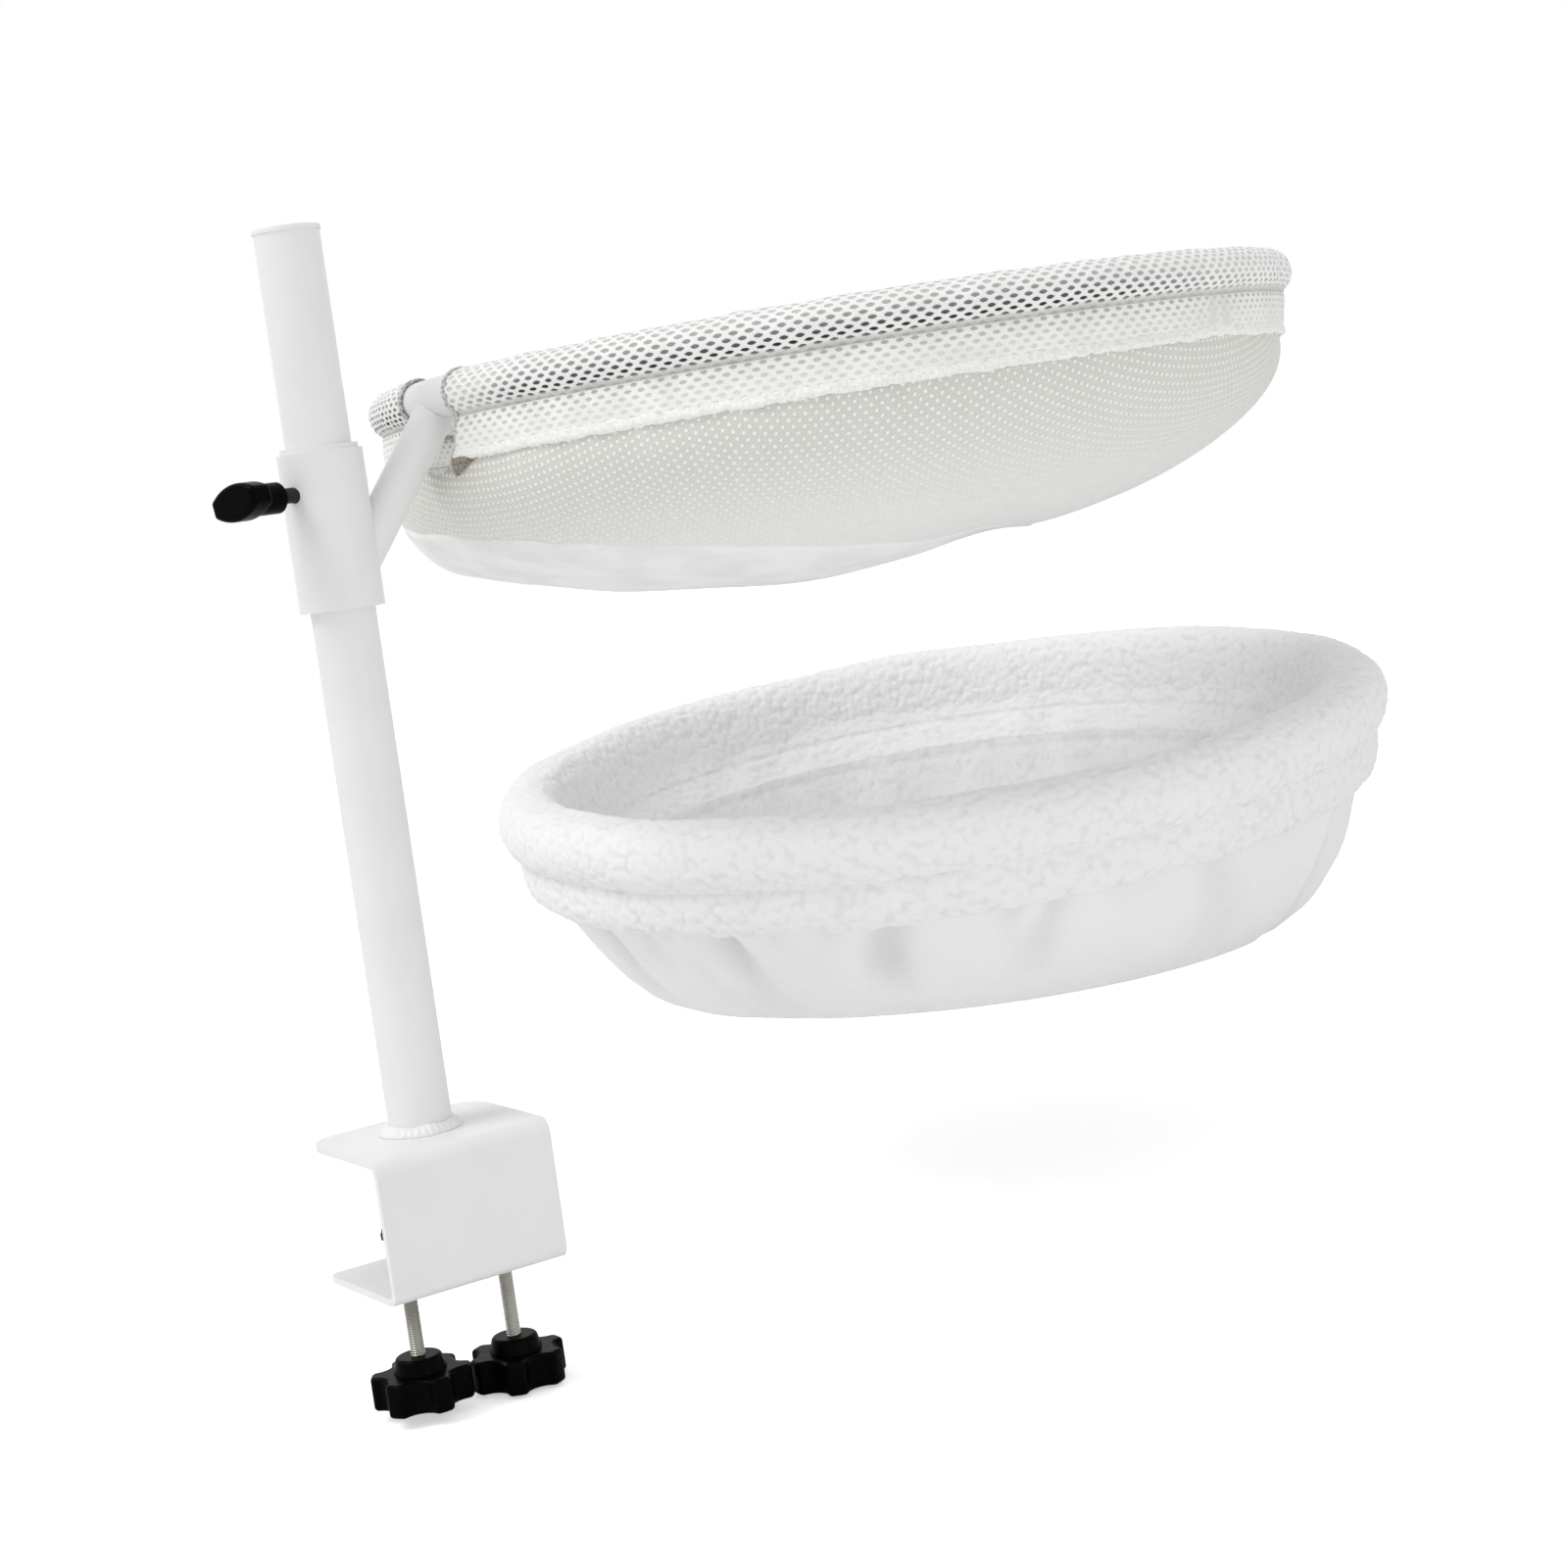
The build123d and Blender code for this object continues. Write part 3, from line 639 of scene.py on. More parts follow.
# The doubled skirt below the rim: a flat loop of cloth that hangs in small waves
def makeSkirt():
    look = skirtLook
    columns = round(coverAngle * look["unroll"] / look["pitch"]) * 5
    angle = coverTurn(columns + 1)
    rise = np.linspace(0, 1, 20)
    front = look["low"] + (look["top"] - look["low"]) * rise
    back = np.linspace(look["backTop"], look["low"], 6)
    height = np.concatenate([front, [look["fold"]], back])[None, :]
    belly = look["front"] + look["belly"] * (np.sin(rise * math.pi) - rise**6)
    outward = np.concatenate([belly, [look["middle"]], np.full(6, look["back"])])[None, :]
    drop = shareDown(height)
    fold = ringWaves(angle, 21, 24, 60, 6, 1.5 * drop)
    fold = fold + 0.7 * ringWaves(angle, 22, 70, 150, 5, 5.0 * drop)
    outerFace = (outward > look["middle"]) * 1.0
    u = (angle - cutoutHigh) * look["unroll"] + 0 * height
    v = height + 0 * angle
    hole = holeField(u, v, look) * outerFace
    gather = look["gather"] * gathered(angle) * drop
    push = (look["wrinkle"] * fold * drop - gather) * outerFace - look["dimple"] * hole
    reach, height = hoopLook["radius"] + outward + push - drawnIn(angle) * drop, v + gather
    points = fromHoop(ringPoints(angle + slanted(angle, drop), reach, height))
    made = gridMesh("mesh_skirt_cloth", points, np.stack([u, v], axis=-1), closedV=True, capped=True)
    ends = np.zeros(2)
    streak = 0.5 + 0.5 * ringWaves(angle, 23, 60, 140, 6, 3.0 * drop)
    # towards the hem the holes go over to their paler colour: painted light
    paintedLight = ease(-v, 10.0, 19.0)
    # warmer grey streaks where the skirt is gathered and near the start of the sunny end
    shadeAndTint = (1.2 * gathered(angle) + 0.3 * sunnyPart(u, 330, 420)) * streak
    writeShade(made, "paintedLight", np.concatenate([paintedLight.ravel(), ends]))
    writeShade(made, "shadeAndTint", np.concatenate([np.clip(shadeAndTint, 0, 1).ravel(), ends]))
    return made


hemLook = {
    "outline": [
        (5.5, -23.4), (4.9, -21.9), (3.7, -22.4), (3.2, -24.6), (3.7, -26.0), (5.0, -26.0), (5.7, -24.8),
    ],
    "lump": 0.75, "lumpSize": 2.3, "wave": 0.4, "hex": "#FAFAF8", "deepHex": "#E9E9E6",
}


# Twisted or overlocked sewing thread: fine slanting ridges in two whites
def threadMaterial(name, look):
    values = {"Roughness": 0.75, "Specular IOR Level": 0.3, "Sheen Weight": 0.2}
    material, tree, shader = newMaterial(name, values)
    patch = smoothStep(tree, noise(tree, 1.4, 3.0), 0.35, 0.7)
    paint(tree, shader, patch, look["hex"], look["deepHex"])
    addBumps(tree, shader, [(noise(tree, 0.5, 2.0, (1, 1, 2.5)), 0.12)])
    return material


# The skirt's hem: a flat band of chunky overlock knots whose lower edge wanders a little
def makeHem():
    look = hemLook
    loop = smoothLoop(look["outline"], 22)
    angle = coverTurn(1801)
    low = np.clip(-22.0 - loop[None, :, 1], 0, 4) / 4
    wander = ringWaves(angle, 31, 30, 70, 5) + 0.6 * ringWaves(angle, 32, 90, 200, 5)
    follow = 0.5 * ringWaves(angle, 21, 24, 60, 6, 1.5)
    gather = skirtLook["gather"] * gathered(angle)
    reach = hoopLook["radius"] + loop[None, :, 0] + follow - gather - drawnIn(angle)
    height = loop[None, :, 1] + look["wave"] * wander * low + gather
    points = fromHoop(ringPoints(angle + slanted(angle, 1.0), reach, height))
    made = gridMesh("skirt_hem_roll", points, closedV=True, capped=True)
    place, normal = readMesh(made)
    pushOut(made, place, normal, look["lump"] * (curls(place, look["lumpSize"], 33) - 0.55))
    return made


edgingLook = {
    "arc": (232, -54), "tube": 8.9, "hang": 4.5, "down": (-9, -26), "halfWidth": 1.25,
    "halfHeight": 0.8, "stitch": 1.6, "ridge": 0.32, "hex": "#DAD9D6", "deepHex": "#8F8E8B",
}


# Overlocked edge of the cut-out: an oval cord of thread that follows the cloth's edge over the
# hoop and down the skirt, with a ridge for each stitch
def makeEdging(name, angle):
    look = edgingLook
    tube = np.radians(np.linspace(*look["arc"], 150))
    reach = np.concatenate([look["tube"] * np.cos(tube), np.full(26, look["hang"])])
    height = np.concatenate([look["tube"] * np.sin(tube), np.linspace(*look["down"], 26)])
    run = runAlong(reach, height)
    at = np.linspace(0, run[-1], 420)
    reach, height = np.interp(at, run, reach), np.interp(at, run, height)
    slopeR, slopeZ = np.gradient(reach), np.gradient(height)
    length = np.hypot(slopeR, slopeZ)
    outR, outZ = -slopeZ / length, slopeR / length
    turn = fullTurn(12).T
    at = at[:, None]
    ridge = look["ridge"] * (np.abs(np.sin(at / look["stitch"] * math.pi + 0.5 * turn)) - 0.5)
    ridge = ridge + 0.18 * ringWaves(at / at[-1] * math.tau, 41, 9, 31, 5, turn)
    wide = (look["halfWidth"] + ridge) * np.cos(turn)
    tall = (look["halfHeight"] + 0.7 * ridge) * np.sin(turn)
    ringR = hoopLook["radius"] + reach[:, None] + outR[:, None] * tall
    hang = slanted(cutoutHigh, shareDown(height[:, None])) if angle > cutoutHigh - 0.1 else 0.0
    points = ringPoints(angle + hang + wide / ringR, ringR, height[:, None] + outZ[:, None] * tall)
    return gridMesh(name, fromHoop(points), closedV=True, capped=True)


tabLook = {
    "outline": [(5.2, -24.8), (3.2, -24.8), (2.6, -28.6), (3.6, -32.2), (4.6, -32.0), (5.3, -28.2)],
    "span": (-0.050, 0.030), "top": -24.8, "pinch": 0.8, "bend": 0.9,
    "rib": 0.08, "ribPitch": 0.9, "hex": "#A79D8F", "deepHex": "#5F574E",
}


# A small loop of tape that hangs out under the hem beside the strut, pinched towards one end
def makeTab():
    look = tabLook
    angle = cutoutHigh + np.linspace(*look["span"], 34)[:, None]
    loop = smoothLoop(look["outline"], 16)
    along = (angle - angle[0]) / (angle[-1] - angle[0])
    bend = look["bend"] * np.sin(along * math.pi * 1.3)
    rib = look["rib"] * np.sin(angle * skirtLook["unroll"] / look["ribPitch"] * math.tau)
    reach = hoopLook["radius"] + loop[None, :, 0] + bend + rib
    height = look["top"] + (loop[None, :, 1] - look["top"]) * (1 - look["pinch"] * along)
    points = fromHoop(ringPoints(angle, reach, height))
    return gridMesh("hem_tab_loop", points, closedV=True, capped=True)


# the bowl's light dots are painted light of the lit inside seen through its holes, raised as small knots
bowlLook = rimLook | {
    "pitch": 4.5, "rowPitch": 2.4, "halfWidth": 0.95, "halfHeight": 0.9, "pitted": -1.0, "pitDepth": 0.2,
    "yarnHex": "#D7D6D0", "litYarnHex": "#EEEEEC", "holeHex": "#F4F4F0", "litHoleHex": "#F2F2F0",
    "shadeAndTintHex": "#8F887C", "blotch": 0.25, "blotchHex": "#E2E1DD",
    "top": 196.2, "tuckIn": 3.9, "drop": 22.0, "depth": 71.2, "wall": 1.4,
    "reachPower": 0.688, "depthPower": 1.027, "drift": (-15.3, 9.75), "driftPower": 1.5,
    "seam": (-76.84, -0.1076, 0.1317), "lap": (1.5, 2.0), "lip": (8.0, 13.0), "viewTurn": 32.5,
}
panelLook = {
    "hex": "#F7F8F7", "deepHex": "#E2E3E1", "stripe": 2.4, "slant": 1.6,
    "ridge": 0.9, "ridgeReach": 10.0, "ridgeStart": 0.8,
}

# each fold of the bowl's bottom: its height, its place and width sideways, its lean, and its
# place and width away from the camera
bowlFoldRows = [
    (3.9, -24, 38, 0.0, -40, 75),
    (-5.0, 51, 16, 0.12, -40, 55),
    (-1.7, -132, 22, 0.0, -20, 60),
    (3.0, -176, 12, 0.0, -20, 60),
]


# The tricot of the bowl's lower panel: fine slanting stripes
def panelMaterial(name, look):
    values = {"Roughness": 0.8, "Specular IOR Level": 0.25, "Sheen Weight": 0.2}
    material, tree, shader = newMaterial(name, values)
    u, v = uvAxes(tree)
    slant = calc(tree, "ADD", u, calc(tree, "MULTIPLY", v, look["slant"]))
    wave = calc(tree, "SINE", calc(tree, "MULTIPLY", slant, math.tau / look["stripe"]))
    wave = calc(tree, "MULTIPLY_ADD", wave, 0.5, 0.5)
    soft = calc(tree, "MULTIPLY", wave, smoothStep(tree, noise(tree, 22, 2.0), 0.3, 0.7))
    paint(tree, shader, soft, look["hex"], look["deepHex"])
    addBumps(tree, shader, [(wave, 0.12), (noise(tree, 0.7, 2.0), 0.05)])
    return material


# How far the cloth stands out from the smooth bowl: shallow folds all round, and across the
# bottom a broad bulge, a sharper dent beside it and a flatter place. Sideways is along the
# photograph's width, and away is from the camera.
def bowlFolds(sideways, away, angle, share):
    fade = np.sin(np.clip(share * 1.25, 0, 1) * math.pi)
    total = 0.8 * fade * ringWaves(angle, 51, 7, 26, 6, 2.0 * share)
    for height, across, width, lean, along, length in bowlFoldRows:
        offside = (sideways - across - lean * (away + 30)) / width
        total = total + height * np.exp(-(offside**2) - ((away - along) / length) ** 2)
    return total


# One piece of the bowl, the mesh side or the tricot panel below the slanting seam, as a thin
# closed shell. From the lip to the lowest point a turn goes from 0 to a right angle; the reach is
# the top's times a power of its cosine, less a tuck near the lip, the depth goes with a power of
# its sine, and the rings drift sideways.
def makeBowlPiece(name, isPanel, columns):
    look = bowlLook
    turn = np.linspace(0, math.pi / 2, 500)
    ringShare = np.sin(turn) ** look["depthPower"]
    ringReach = look["top"] * np.cos(turn) ** look["reachPower"] - look["tuckIn"] * (1 - ringShare) ** 8
    ringHeight = -look["drop"] - look["depth"] * ringShare
    stepR, stepZ = np.gradient(ringReach), np.gradient(ringHeight)
    length = np.hypot(stepR, stepZ)
    run = runAlong(ringReach, ringHeight)
    angle = fullTurn(600)

    # the seam lies where the outline goes below the slanting plane
    x = ringReach * np.cos(angle) + look["drift"][0] * ringShare ** look["driftPower"]
    y = ringReach * np.sin(angle) + look["drift"][1] * ringShare ** look["driftPower"]
    level, slopeX, slopeY = look["seam"]
    seam = run[np.argmax(ringHeight < level + slopeX * x + slopeY * y, axis=1)][:, None]
    seam = seam + 0.5 * ringWaves(angle, 52, 5, 19, 5)

    # the lip starts lower near the strut, which leaves it some air, and the pieces lap at the seam
    lipDrop, lipWidth = look["lip"]
    lip = lipDrop * np.exp(-(((angle - math.pi) * look["top"] / lipWidth) ** 4))
    above, below = look["lap"]
    first, last = (seam - above, run[-1] + 0 * seam) if isPanel else (lip, seam + below)
    at = first + (last - first) * np.linspace(0, 1, columns)[None, :]
    share = np.interp(at, run, ringShare)
    normalR, normalZ = np.interp(at, run, -stepZ / length), np.interp(at, run, stepR / length)
    driftX, driftY = (look["drift"][k] * share ** look["driftPower"] for k in (0, 1))
    view = math.radians(look["viewTurn"])
    x = np.interp(at, run, ringReach) * np.cos(angle) + driftX
    y = np.interp(at, run, ringReach) * np.sin(angle) + driftY
    sideways = x * math.cos(view) - y * math.sin(view)
    away = x * math.sin(view) + y * math.cos(view)
    fromSeam = at - first
    ridge = panelLook["ridge"] * np.exp(-fromSeam / panelLook["ridgeReach"]) * isPanel
    ridge = ridge * np.clip(fromSeam / panelLook["ridgeStart"], 0, 1)

    # the smooth bowl, moved out along its normal
    def surface(stand):
        reach = np.interp(at, run, ringReach) + normalR * stand
        reach = reach - drawnIn(angle) * bell(at / 20.0)
        points = ringPoints(angle, reach, np.interp(at, run, ringHeight) + normalZ * stand)
        return points + np.stack([driftX, driftY, 0 * share], axis=-1)

    folds = bowlFolds(sideways, away, angle, share) - 0.4
    points = np.concatenate([surface(folds - look["wall"]), surface(folds + ridge)[:, ::-1]], axis=1)

    # the knit lies as on the flat round of cloth, its rows along the photograph's width
    at = np.concatenate([at, at[:, ::-1]], axis=1)
    flatReach = run[-1] - at
    uv = np.stack([flatReach * np.cos(angle + view), flatReach * np.sin(angle + view)], axis=-1)
    made = gridMesh(name, fromHoop(points), uv, closedU=True, closedV=True)
    # a dark patch near the lip at the notch beside the strut: painted shade of the gap into the hammock
    shadeAndTint = 0.9 * np.exp(-(((angle - math.pi - 0.06) / 0.1) ** 2) - (at / 10.0) ** 2)
    # the yarn is painted lighter towards the bottom: painted light
    writeShade(made, "paintedLight", ease(at, 4.0, 85.0).ravel())
    writeShade(made, "shadeAndTint", shadeAndTint.ravel())
    weldPoints(made)
    return made


rim = makeRim()
skirt = makeSkirt()
hem = makeHem()
edgeNear = makeEdging("cutout_edging_near", cutoutHigh - math.radians(0.4))
edgeFar = makeEdging("cutout_edging_far", cutoutLow + math.radians(0.4))
tab = makeTab()
bowl = makeBowlPiece("mesh_bowl_cloth", False, 80)
panel = makeBowlPiece("bowl_panel_cloth", True, 70)

# white spacer mesh stretched on the hoop, its holes painted dark as painted shade, and doubled in the
# skirt, where its holes show less
rimMesh = meshMaterial("rimMesh", rimLook)
skirtMesh = meshMaterial("skirtMesh", skirtLook)
# white overlock thread of the hem, grey overlock of the raw edges, taupe tape
hemThread = threadMaterial("hemThread", hemLook)
overlockThread = threadMaterial("overlockThread", edgingLook)
tabTape = threadMaterial("tabTape", tabLook)
# warm grey mesh with light dots, painted light of the lit inside seen through its holes and raised as
# knots, and lighter fine tricot below its seam
bowlMesh = meshMaterial("bowlMesh", bowlLook)
panelTricot = panelMaterial("panelTricot", panelLook)
for piece, node, slotName, material in (
    (rim, "mesh_rim", "white_mesh", rimMesh),
    (skirt, "mesh_skirt", "white_mesh", skirtMesh),
    (hem, "skirt_hem", "white_mesh", hemThread),
    (edgeNear, "cutout_edging", "edging_thread", overlockThread),
    (edgeFar, "cutout_edging", "edging_thread", overlockThread),
    (tab, "hem_tab", "edging_thread", tabTape),
    (bowl, "mesh_bowl", "bowl_mesh", bowlMesh),
    (panel, "bowl_panel", "panel_tricot", panelTricot),
):
    piece.data.materials.append(material)
    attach(piece, "carrier")
    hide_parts(node)
print("hammock ready")


# Plush bed

bedLook = {
    "middle": (342.7, 95.4), "roll": 2.8, "pitch": -4.07, "shift": 2.0,
    "hemHeight": 69.0, "hemRadius": 200.0, "footRadius": 156.0,
    "heightShares": [0.0, 0.2, 0.55, 1.0], "reachShares": [0.0, 0.34, 0.66, 1.0],
}
hemLean = leanMatrix(bedLook["roll"], bedLook["pitch"])
hemMiddle = np.array([*bedLook["middle"], bedLook["hemHeight"]])
bedFoot = np.array([*bedLook["middle"], 0.0]) + np.array([bedLook["shift"], bedLook["shift"], 0.0])
reachCurve = np.polyfit(bedLook["heightShares"], bedLook["reachShares"], 3)


# Points in the frame of the bed's slanted hem, turned by its lean and moved to its middle
def fromHem(points):
    return points @ hemLean.T + hemMiddle


# A ring of the bed's wall: its lean, shift and height follow the share of the way up to the hem.
# Its radius goes from the foot's to the hem's along the curve of the CAD model's rings.
def wallPoints(angle, share, foot, footRadius, hemRadius, proud=0.0):
    radius = footRadius + (hemRadius - footRadius) * np.polyval(reachCurve, share) + proud
    roll, pitch = np.radians(bedLook["roll"]) * share, np.radians(bedLook["pitch"]) * share
    x, y = radius * np.cos(angle), radius * np.sin(angle)
    alongX, rise = x * np.cos(pitch), -x * np.sin(pitch)
    alongY, height = y * np.cos(roll) - rise * np.sin(roll), y * np.sin(roll) + rise * np.cos(roll)
    shift = bedLook["shift"] * (1 - share)
    base = foot + (bedLook["hemHeight"] - foot) * share
    middleX, middleY = bedLook["middle"]
    parts = np.broadcast_arrays(middleX + shift + alongX, middleY + shift + alongY, base + height)
    return np.stack(parts, axis=-1)


# Curly fleece or short plush: deep places are painted greyer than the tips, painted shade, under fine
# curled fibre
def pileMaterial(name, look):
    values = {"Roughness": 0.95, "Specular IOR Level": 0.1, "Sheen Weight": 0.25, "Sheen Roughness": 0.6}
    material, tree, shader = newMaterial(name, values)
    deep = addNode(tree, "ShaderNodeAttribute", {"attribute_name": "pileShade"})
    tips = smoothStep(tree, deep.outputs["Fac"], look["deepAt"], look["tipAt"])
    drift = calc(tree, "MULTIPLY_ADD", noise(tree, 26, 2.0), 0.2, -0.05)
    tips = addNode(tree, "ShaderNodeClamp", {}, {}, {"Value": calc(tree, "ADD", tips, drift)}).outputs[0]
    paint(tree, shader, tips, look["deepHex"], look["tipHex"])
    fibre, knots = noise(tree, look["fibre"], 4.0), cells(tree, look["fibre"] * 1.6)
    addBumps(tree, shader, [(fibre, look["fibreDepth"]), (knots, look["fibreDepth"] * 0.6)])
    return material


# sherpa fleece of the rolls and the lining
fleeceLook = {
    "deepHex": "#ECECEC", "tipHex": "#F5F5F5", "deepAt": 0.1, "tipAt": 0.85,
    "fibre": 0.8, "fibreDepth": 0.2,
}
fleece = pileMaterial("curlyFleece", fleeceLook)
# the same fleece, painted whiter on the floor pad: painted light
floorLitFleece = pileMaterial("floorLitFleece", fleeceLook | {"deepHex": "#F8F8F8", "tipHex": "#FFFFFF"})
# short-pile plush of the outer wall, with its pleat grooves painted greyer as painted shade
plushLook = {"deepHex": "#DADADA", "deepAt": 0.0, "tipAt": 1.0, "fibre": 0.7, "fibreDepth": 0.1}
plush = pileMaterial("shortPlush", fleeceLook | plushLook)

rollStuffing = {"voxel": 4.0, "pressure": 4.0, "cap": 1.5, "finer": 2}
rimRollLook = {
    "outline": [
        (215.2, 32.0), (212.4, 42.3), (203.0, 47.3), (192.5, 44.5), (186.4, 36.5), (183.6, 27.0),
        (181.0, 18.0), (180.6, 10.5), (185.0, 10.5), (194.0, 16.5), (205.0, 17.6), (212.0, 22.2),
    ],
    "middle": (198.0, 30.0), "swell": 0.6, "pile": {"curl": 3.5, "height": 1.35, "seed": 71},
}


# A stuffed roll round the hem: every point of its section moves by a wave along its own way
def makeRoll(name, look, angle, loop, wave, way):
    reach, height = (loop[None, :, k] + wave * way[..., k] for k in (0, 1))
    made = gridMesh(name, fromHem(ringPoints(angle, reach, height)), closedU=True, closedV=True)
    stuff(made, rollStuffing)
    pile(made, look["pile"])
    return made


# The stuffed rim: a drop-shaped section that leans on the lining inside and sits on the lower
# roll. It swells out from its middle and shrinks again, slowly round the ring.
def makeRimRoll():
    look = rimRollLook
    loop = smoothLoop(look["outline"], 44)
    out = loop - np.array(look["middle"])
    out /= np.linalg.norm(out, axis=1, keepdims=True)
    angle = fullTurn(420)
    swell = look["swell"] * ringWaves(angle, 62, 3, 14, 5, fullTurn(44).T)
    return makeRoll("plush_rim_fleece", look, angle, loop, swell, out[None])


lowRollLook = {
    "outline": [
        (204.6, -2.6), (207.6, 5.0), (207.9, 13.5), (205.6, 20.0), (197.0, 22.5), (189.5, 14.0),
        (190.5, 2.5), (199.5, -4.2),
    ],
    "sag": (0.5, 0.2), "pile": {"curl": 3.7, "height": 1.5, "seed": 81},
}


# The lower roll: a sagging loop of fleece between the rim roll and the hem
def makeLowRoll():
    look = lowRollLook
    angle = fullTurn(300)
    wave = ringWaves(angle, 63, 12, 44, 6)
    loop = smoothLoop(look["outline"], 32)
    return makeRoll("plush_lower_fleece", look, angle, loop, wave, np.array(look["sag"]))


wallLook = {
    "pleats": 52, "pleatDepth": 4.6, "reach": (0.6, 1.2), "depth": (0.4, 1.0), "width": (3.5, 7.5),
    "lean": 0.16, "opening": 2.2, "ridge": 0.45, "crumple": 1.9, "set": 0.9, "lopsided": 3.0,
    "pile": 0.12, "pileCurl": 2.4, "inner": (3.2, 149.3, 173.3),
}


# Pleats of the gathered hem: each is a groove that is narrow at the hem, opens downwards, drifts
# sideways and fades out about half way down
def pleatField(angle, up):
    look = wallLook
    source = np.random.default_rng(64)
    total = np.zeros(np.broadcast_shapes(angle.shape, up.shape))
    for _ in range(look["pleats"]):
        middle, lean = source.uniform(0, math.tau), source.uniform(-look["lean"], look["lean"])
        reach, depth, width = (source.uniform(*look[key]) for key in ("reach", "depth", "width"))
        down = np.clip((1 - up) / reach, 0, 1)
        away = (angle - middle - lean * down + math.pi) % math.tau - math.pi
        across = away * 190.0 / (width * (1 + look["opening"] * down))
        ridges = look["ridge"] * bell((np.abs(across) - 1.9) / 1.1)
        total = total + depth * (1 - down) ** 0.8 * (ridges - bell(across))
    return total


# The padded outer wall: pleats below the hem, slow folds lower down, and a little further out
# on the photograph's right side than on its left
def makeWall():
    look = wallLook
    angle = fullTurn(1000)
    up = np.linspace(0, 1, 50)[None, :]
    pleats = pleatField(angle, up)
    folds = ringWaves(angle, 65, 9, 26, 6, 3.0 * up) * np.sin(up * math.pi) ** 0.7
    crumple = ringWaves(angle, 66, 30, 60, 5, 4.0 * up) * (1 - up) ** 2
    folds = folds + 0.6 * crumple * np.sin(np.clip(up * 6, 0, 1) * math.pi / 2)
    proud = look["pleatDepth"] * pleats + look["crumple"] * folds - look["set"]
    across = np.cos(angle + math.radians(bowlLook["viewTurn"])) * (1 - up**4)
    proud = proud + look["lopsided"] * across * (0.4 + 0.6 * ease(up, 0, 0.2))
    outside = wallPoints(angle, up, 0.0, bedLook["footRadius"] - 1.0, bedLook["hemRadius"], proud)
    inside = wallPoints(angle, np.linspace(1, 0, 10)[None, :], *look["inner"])
    points = np.concatenate([outside, inside], axis=1)
    made = gridMesh("plush_wall_cloth", points, closedU=True, closedV=True)
    place, normal = readMesh(made)
    tuft = curls(place, look["pileCurl"], 83)
    pushOut(made, place, normal, look["pile"] * tuft)
    # the pleats' grooves are painted greyer and their ridges lighter: painted shade and light
    shade = np.concatenate([pleats, np.zeros(inside.shape[:2])], axis=1).ravel()
    writeShade(made, "pileShade", 0.75 + 0.1 * tuft + 0.36 * shade)
    return made


liningLook = {
    "foot": 3.0, "footRadius": 144.3, "topRadius": 168.0, "flare": 20.0, "bandTop": 27.0,
    "hollow": 0.012, "puff": 0.7, "stitches": [(80.0, 0.8), (64.0, 0.9)], "stitchWidth": 1.2,
    "thick": 4.6, "backReach": [182.0, 192.4], "backHeight": [13.0, 27.0],
    "pile": {"curl": 3.0, "height": 0.9, "seed": 91},
}


# The fleece lining: slanted band above the hem, lofted wall below it, pressed in at two stitch lines,
# where it is also painted greyer, painted shade in the grooves
def makeLining():
    look = liningLook
    angle = fullTurn(700)
    above = np.linspace(look["bandTop"], -2, 46)[None, :]
    below = np.linspace(0.96, 0, 43)[None, :]
    bandReach = look["topRadius"] + look["flare"] * np.clip(above, -1, 27) / look["bandTop"]
    bandReach = bandReach - look["hollow"] * np.clip(above - 8, 0, 19) ** 2
    level = np.concatenate([above + bedLook["hemHeight"], bedLook["hemHeight"] * below], axis=1)
    lines = 0.0
    for height, depth in look["stitches"]:
        lines = lines + depth * bell((level - height) / look["stitchWidth"])
    groove = lines * (0.8 + 0.2 * ringWaves(angle, 70, 40, 120, 5))
    puff = look["puff"] * ringWaves(angle, 67, 14, 50, 6, 0.2 * above)
    split = above.shape[1]
    band = fromHem(ringPoints(angle, bandReach + groove[:, :split] + puff, above + 0 * angle))
    soft = 0.8 * ringWaves(angle, 68, 8, 30, 6, 3.0 * below) * np.sin(below * math.pi)
    proud = groove[:, split:] + soft + look["puff"] * ringWaves(angle, 67, 14, 50, 6) * below
    wall = wallPoints(angle, below, look["foot"], look["footRadius"], look["topRadius"], proud)
    up = np.linspace(0, 1, 8)[None, :]
    thick = look["thick"]
    backLow = wallPoints(angle, up, look["foot"], look["footRadius"] + thick, look["topRadius"] + thick)
    backHigh = fromHem(ringPoints(angle, np.array([look["backReach"]]), np.array([look["backHeight"]])))
    points = np.concatenate([band, wall, backLow, backHigh], axis=1)
    made = gridMesh("plush_lining_fleece", points, closedU=True, closedV=True)
    behind = np.zeros((len(points), points.shape[1] - groove.shape[1]))
    pile(made, look["pile"], np.concatenate([groove, behind], axis=1).ravel())
    return made


floorLook = {
    "radius": 142.0, "low": 3.2, "edge": 11.0, "crown": 4.5,
    "voxel": 6.0, "pressure": 4.0, "cap": 1.0, "finer": 2,
    "pile": {"curl": 3.0, "height": 0.5, "seed": 95},
}


# The floor cushion: a crowned round pad with a soft edge
def makeFloor():
    look = floorLook
    share = np.linspace(0, 1, 40)
    top = look["edge"] + look["crown"] * (1 - share**2)
    top[-1] -= 1.0
    under = look["radius"] * share[::-4]
    reach = np.concatenate([look["radius"] * share, [look["radius"] + 0.6, look["radius"] - 1.5], under])
    edge = [look["edge"] - 3.5, look["low"] + 0.5]
    height = np.concatenate([top, edge, np.full(len(under), look["low"])])
    angle = fullTurn(180)
    points = ringPoints(angle, reach[None, ::-1], height[None, ::-1] + 0 * angle) + bedFoot
    made = gridMesh("plush_floor_pad", points, closedU=True, weld=True)
    stuff(made, look)
    pile(made, look["pile"])
    return made


baseLook = {
    "radius": 153.0, "low": 0.15, "top": 2.8, "ripple": 0.15,
    "hex": "#DEDEDC", "deepHex": "#CFCFCD", "thread": 1.2,
}


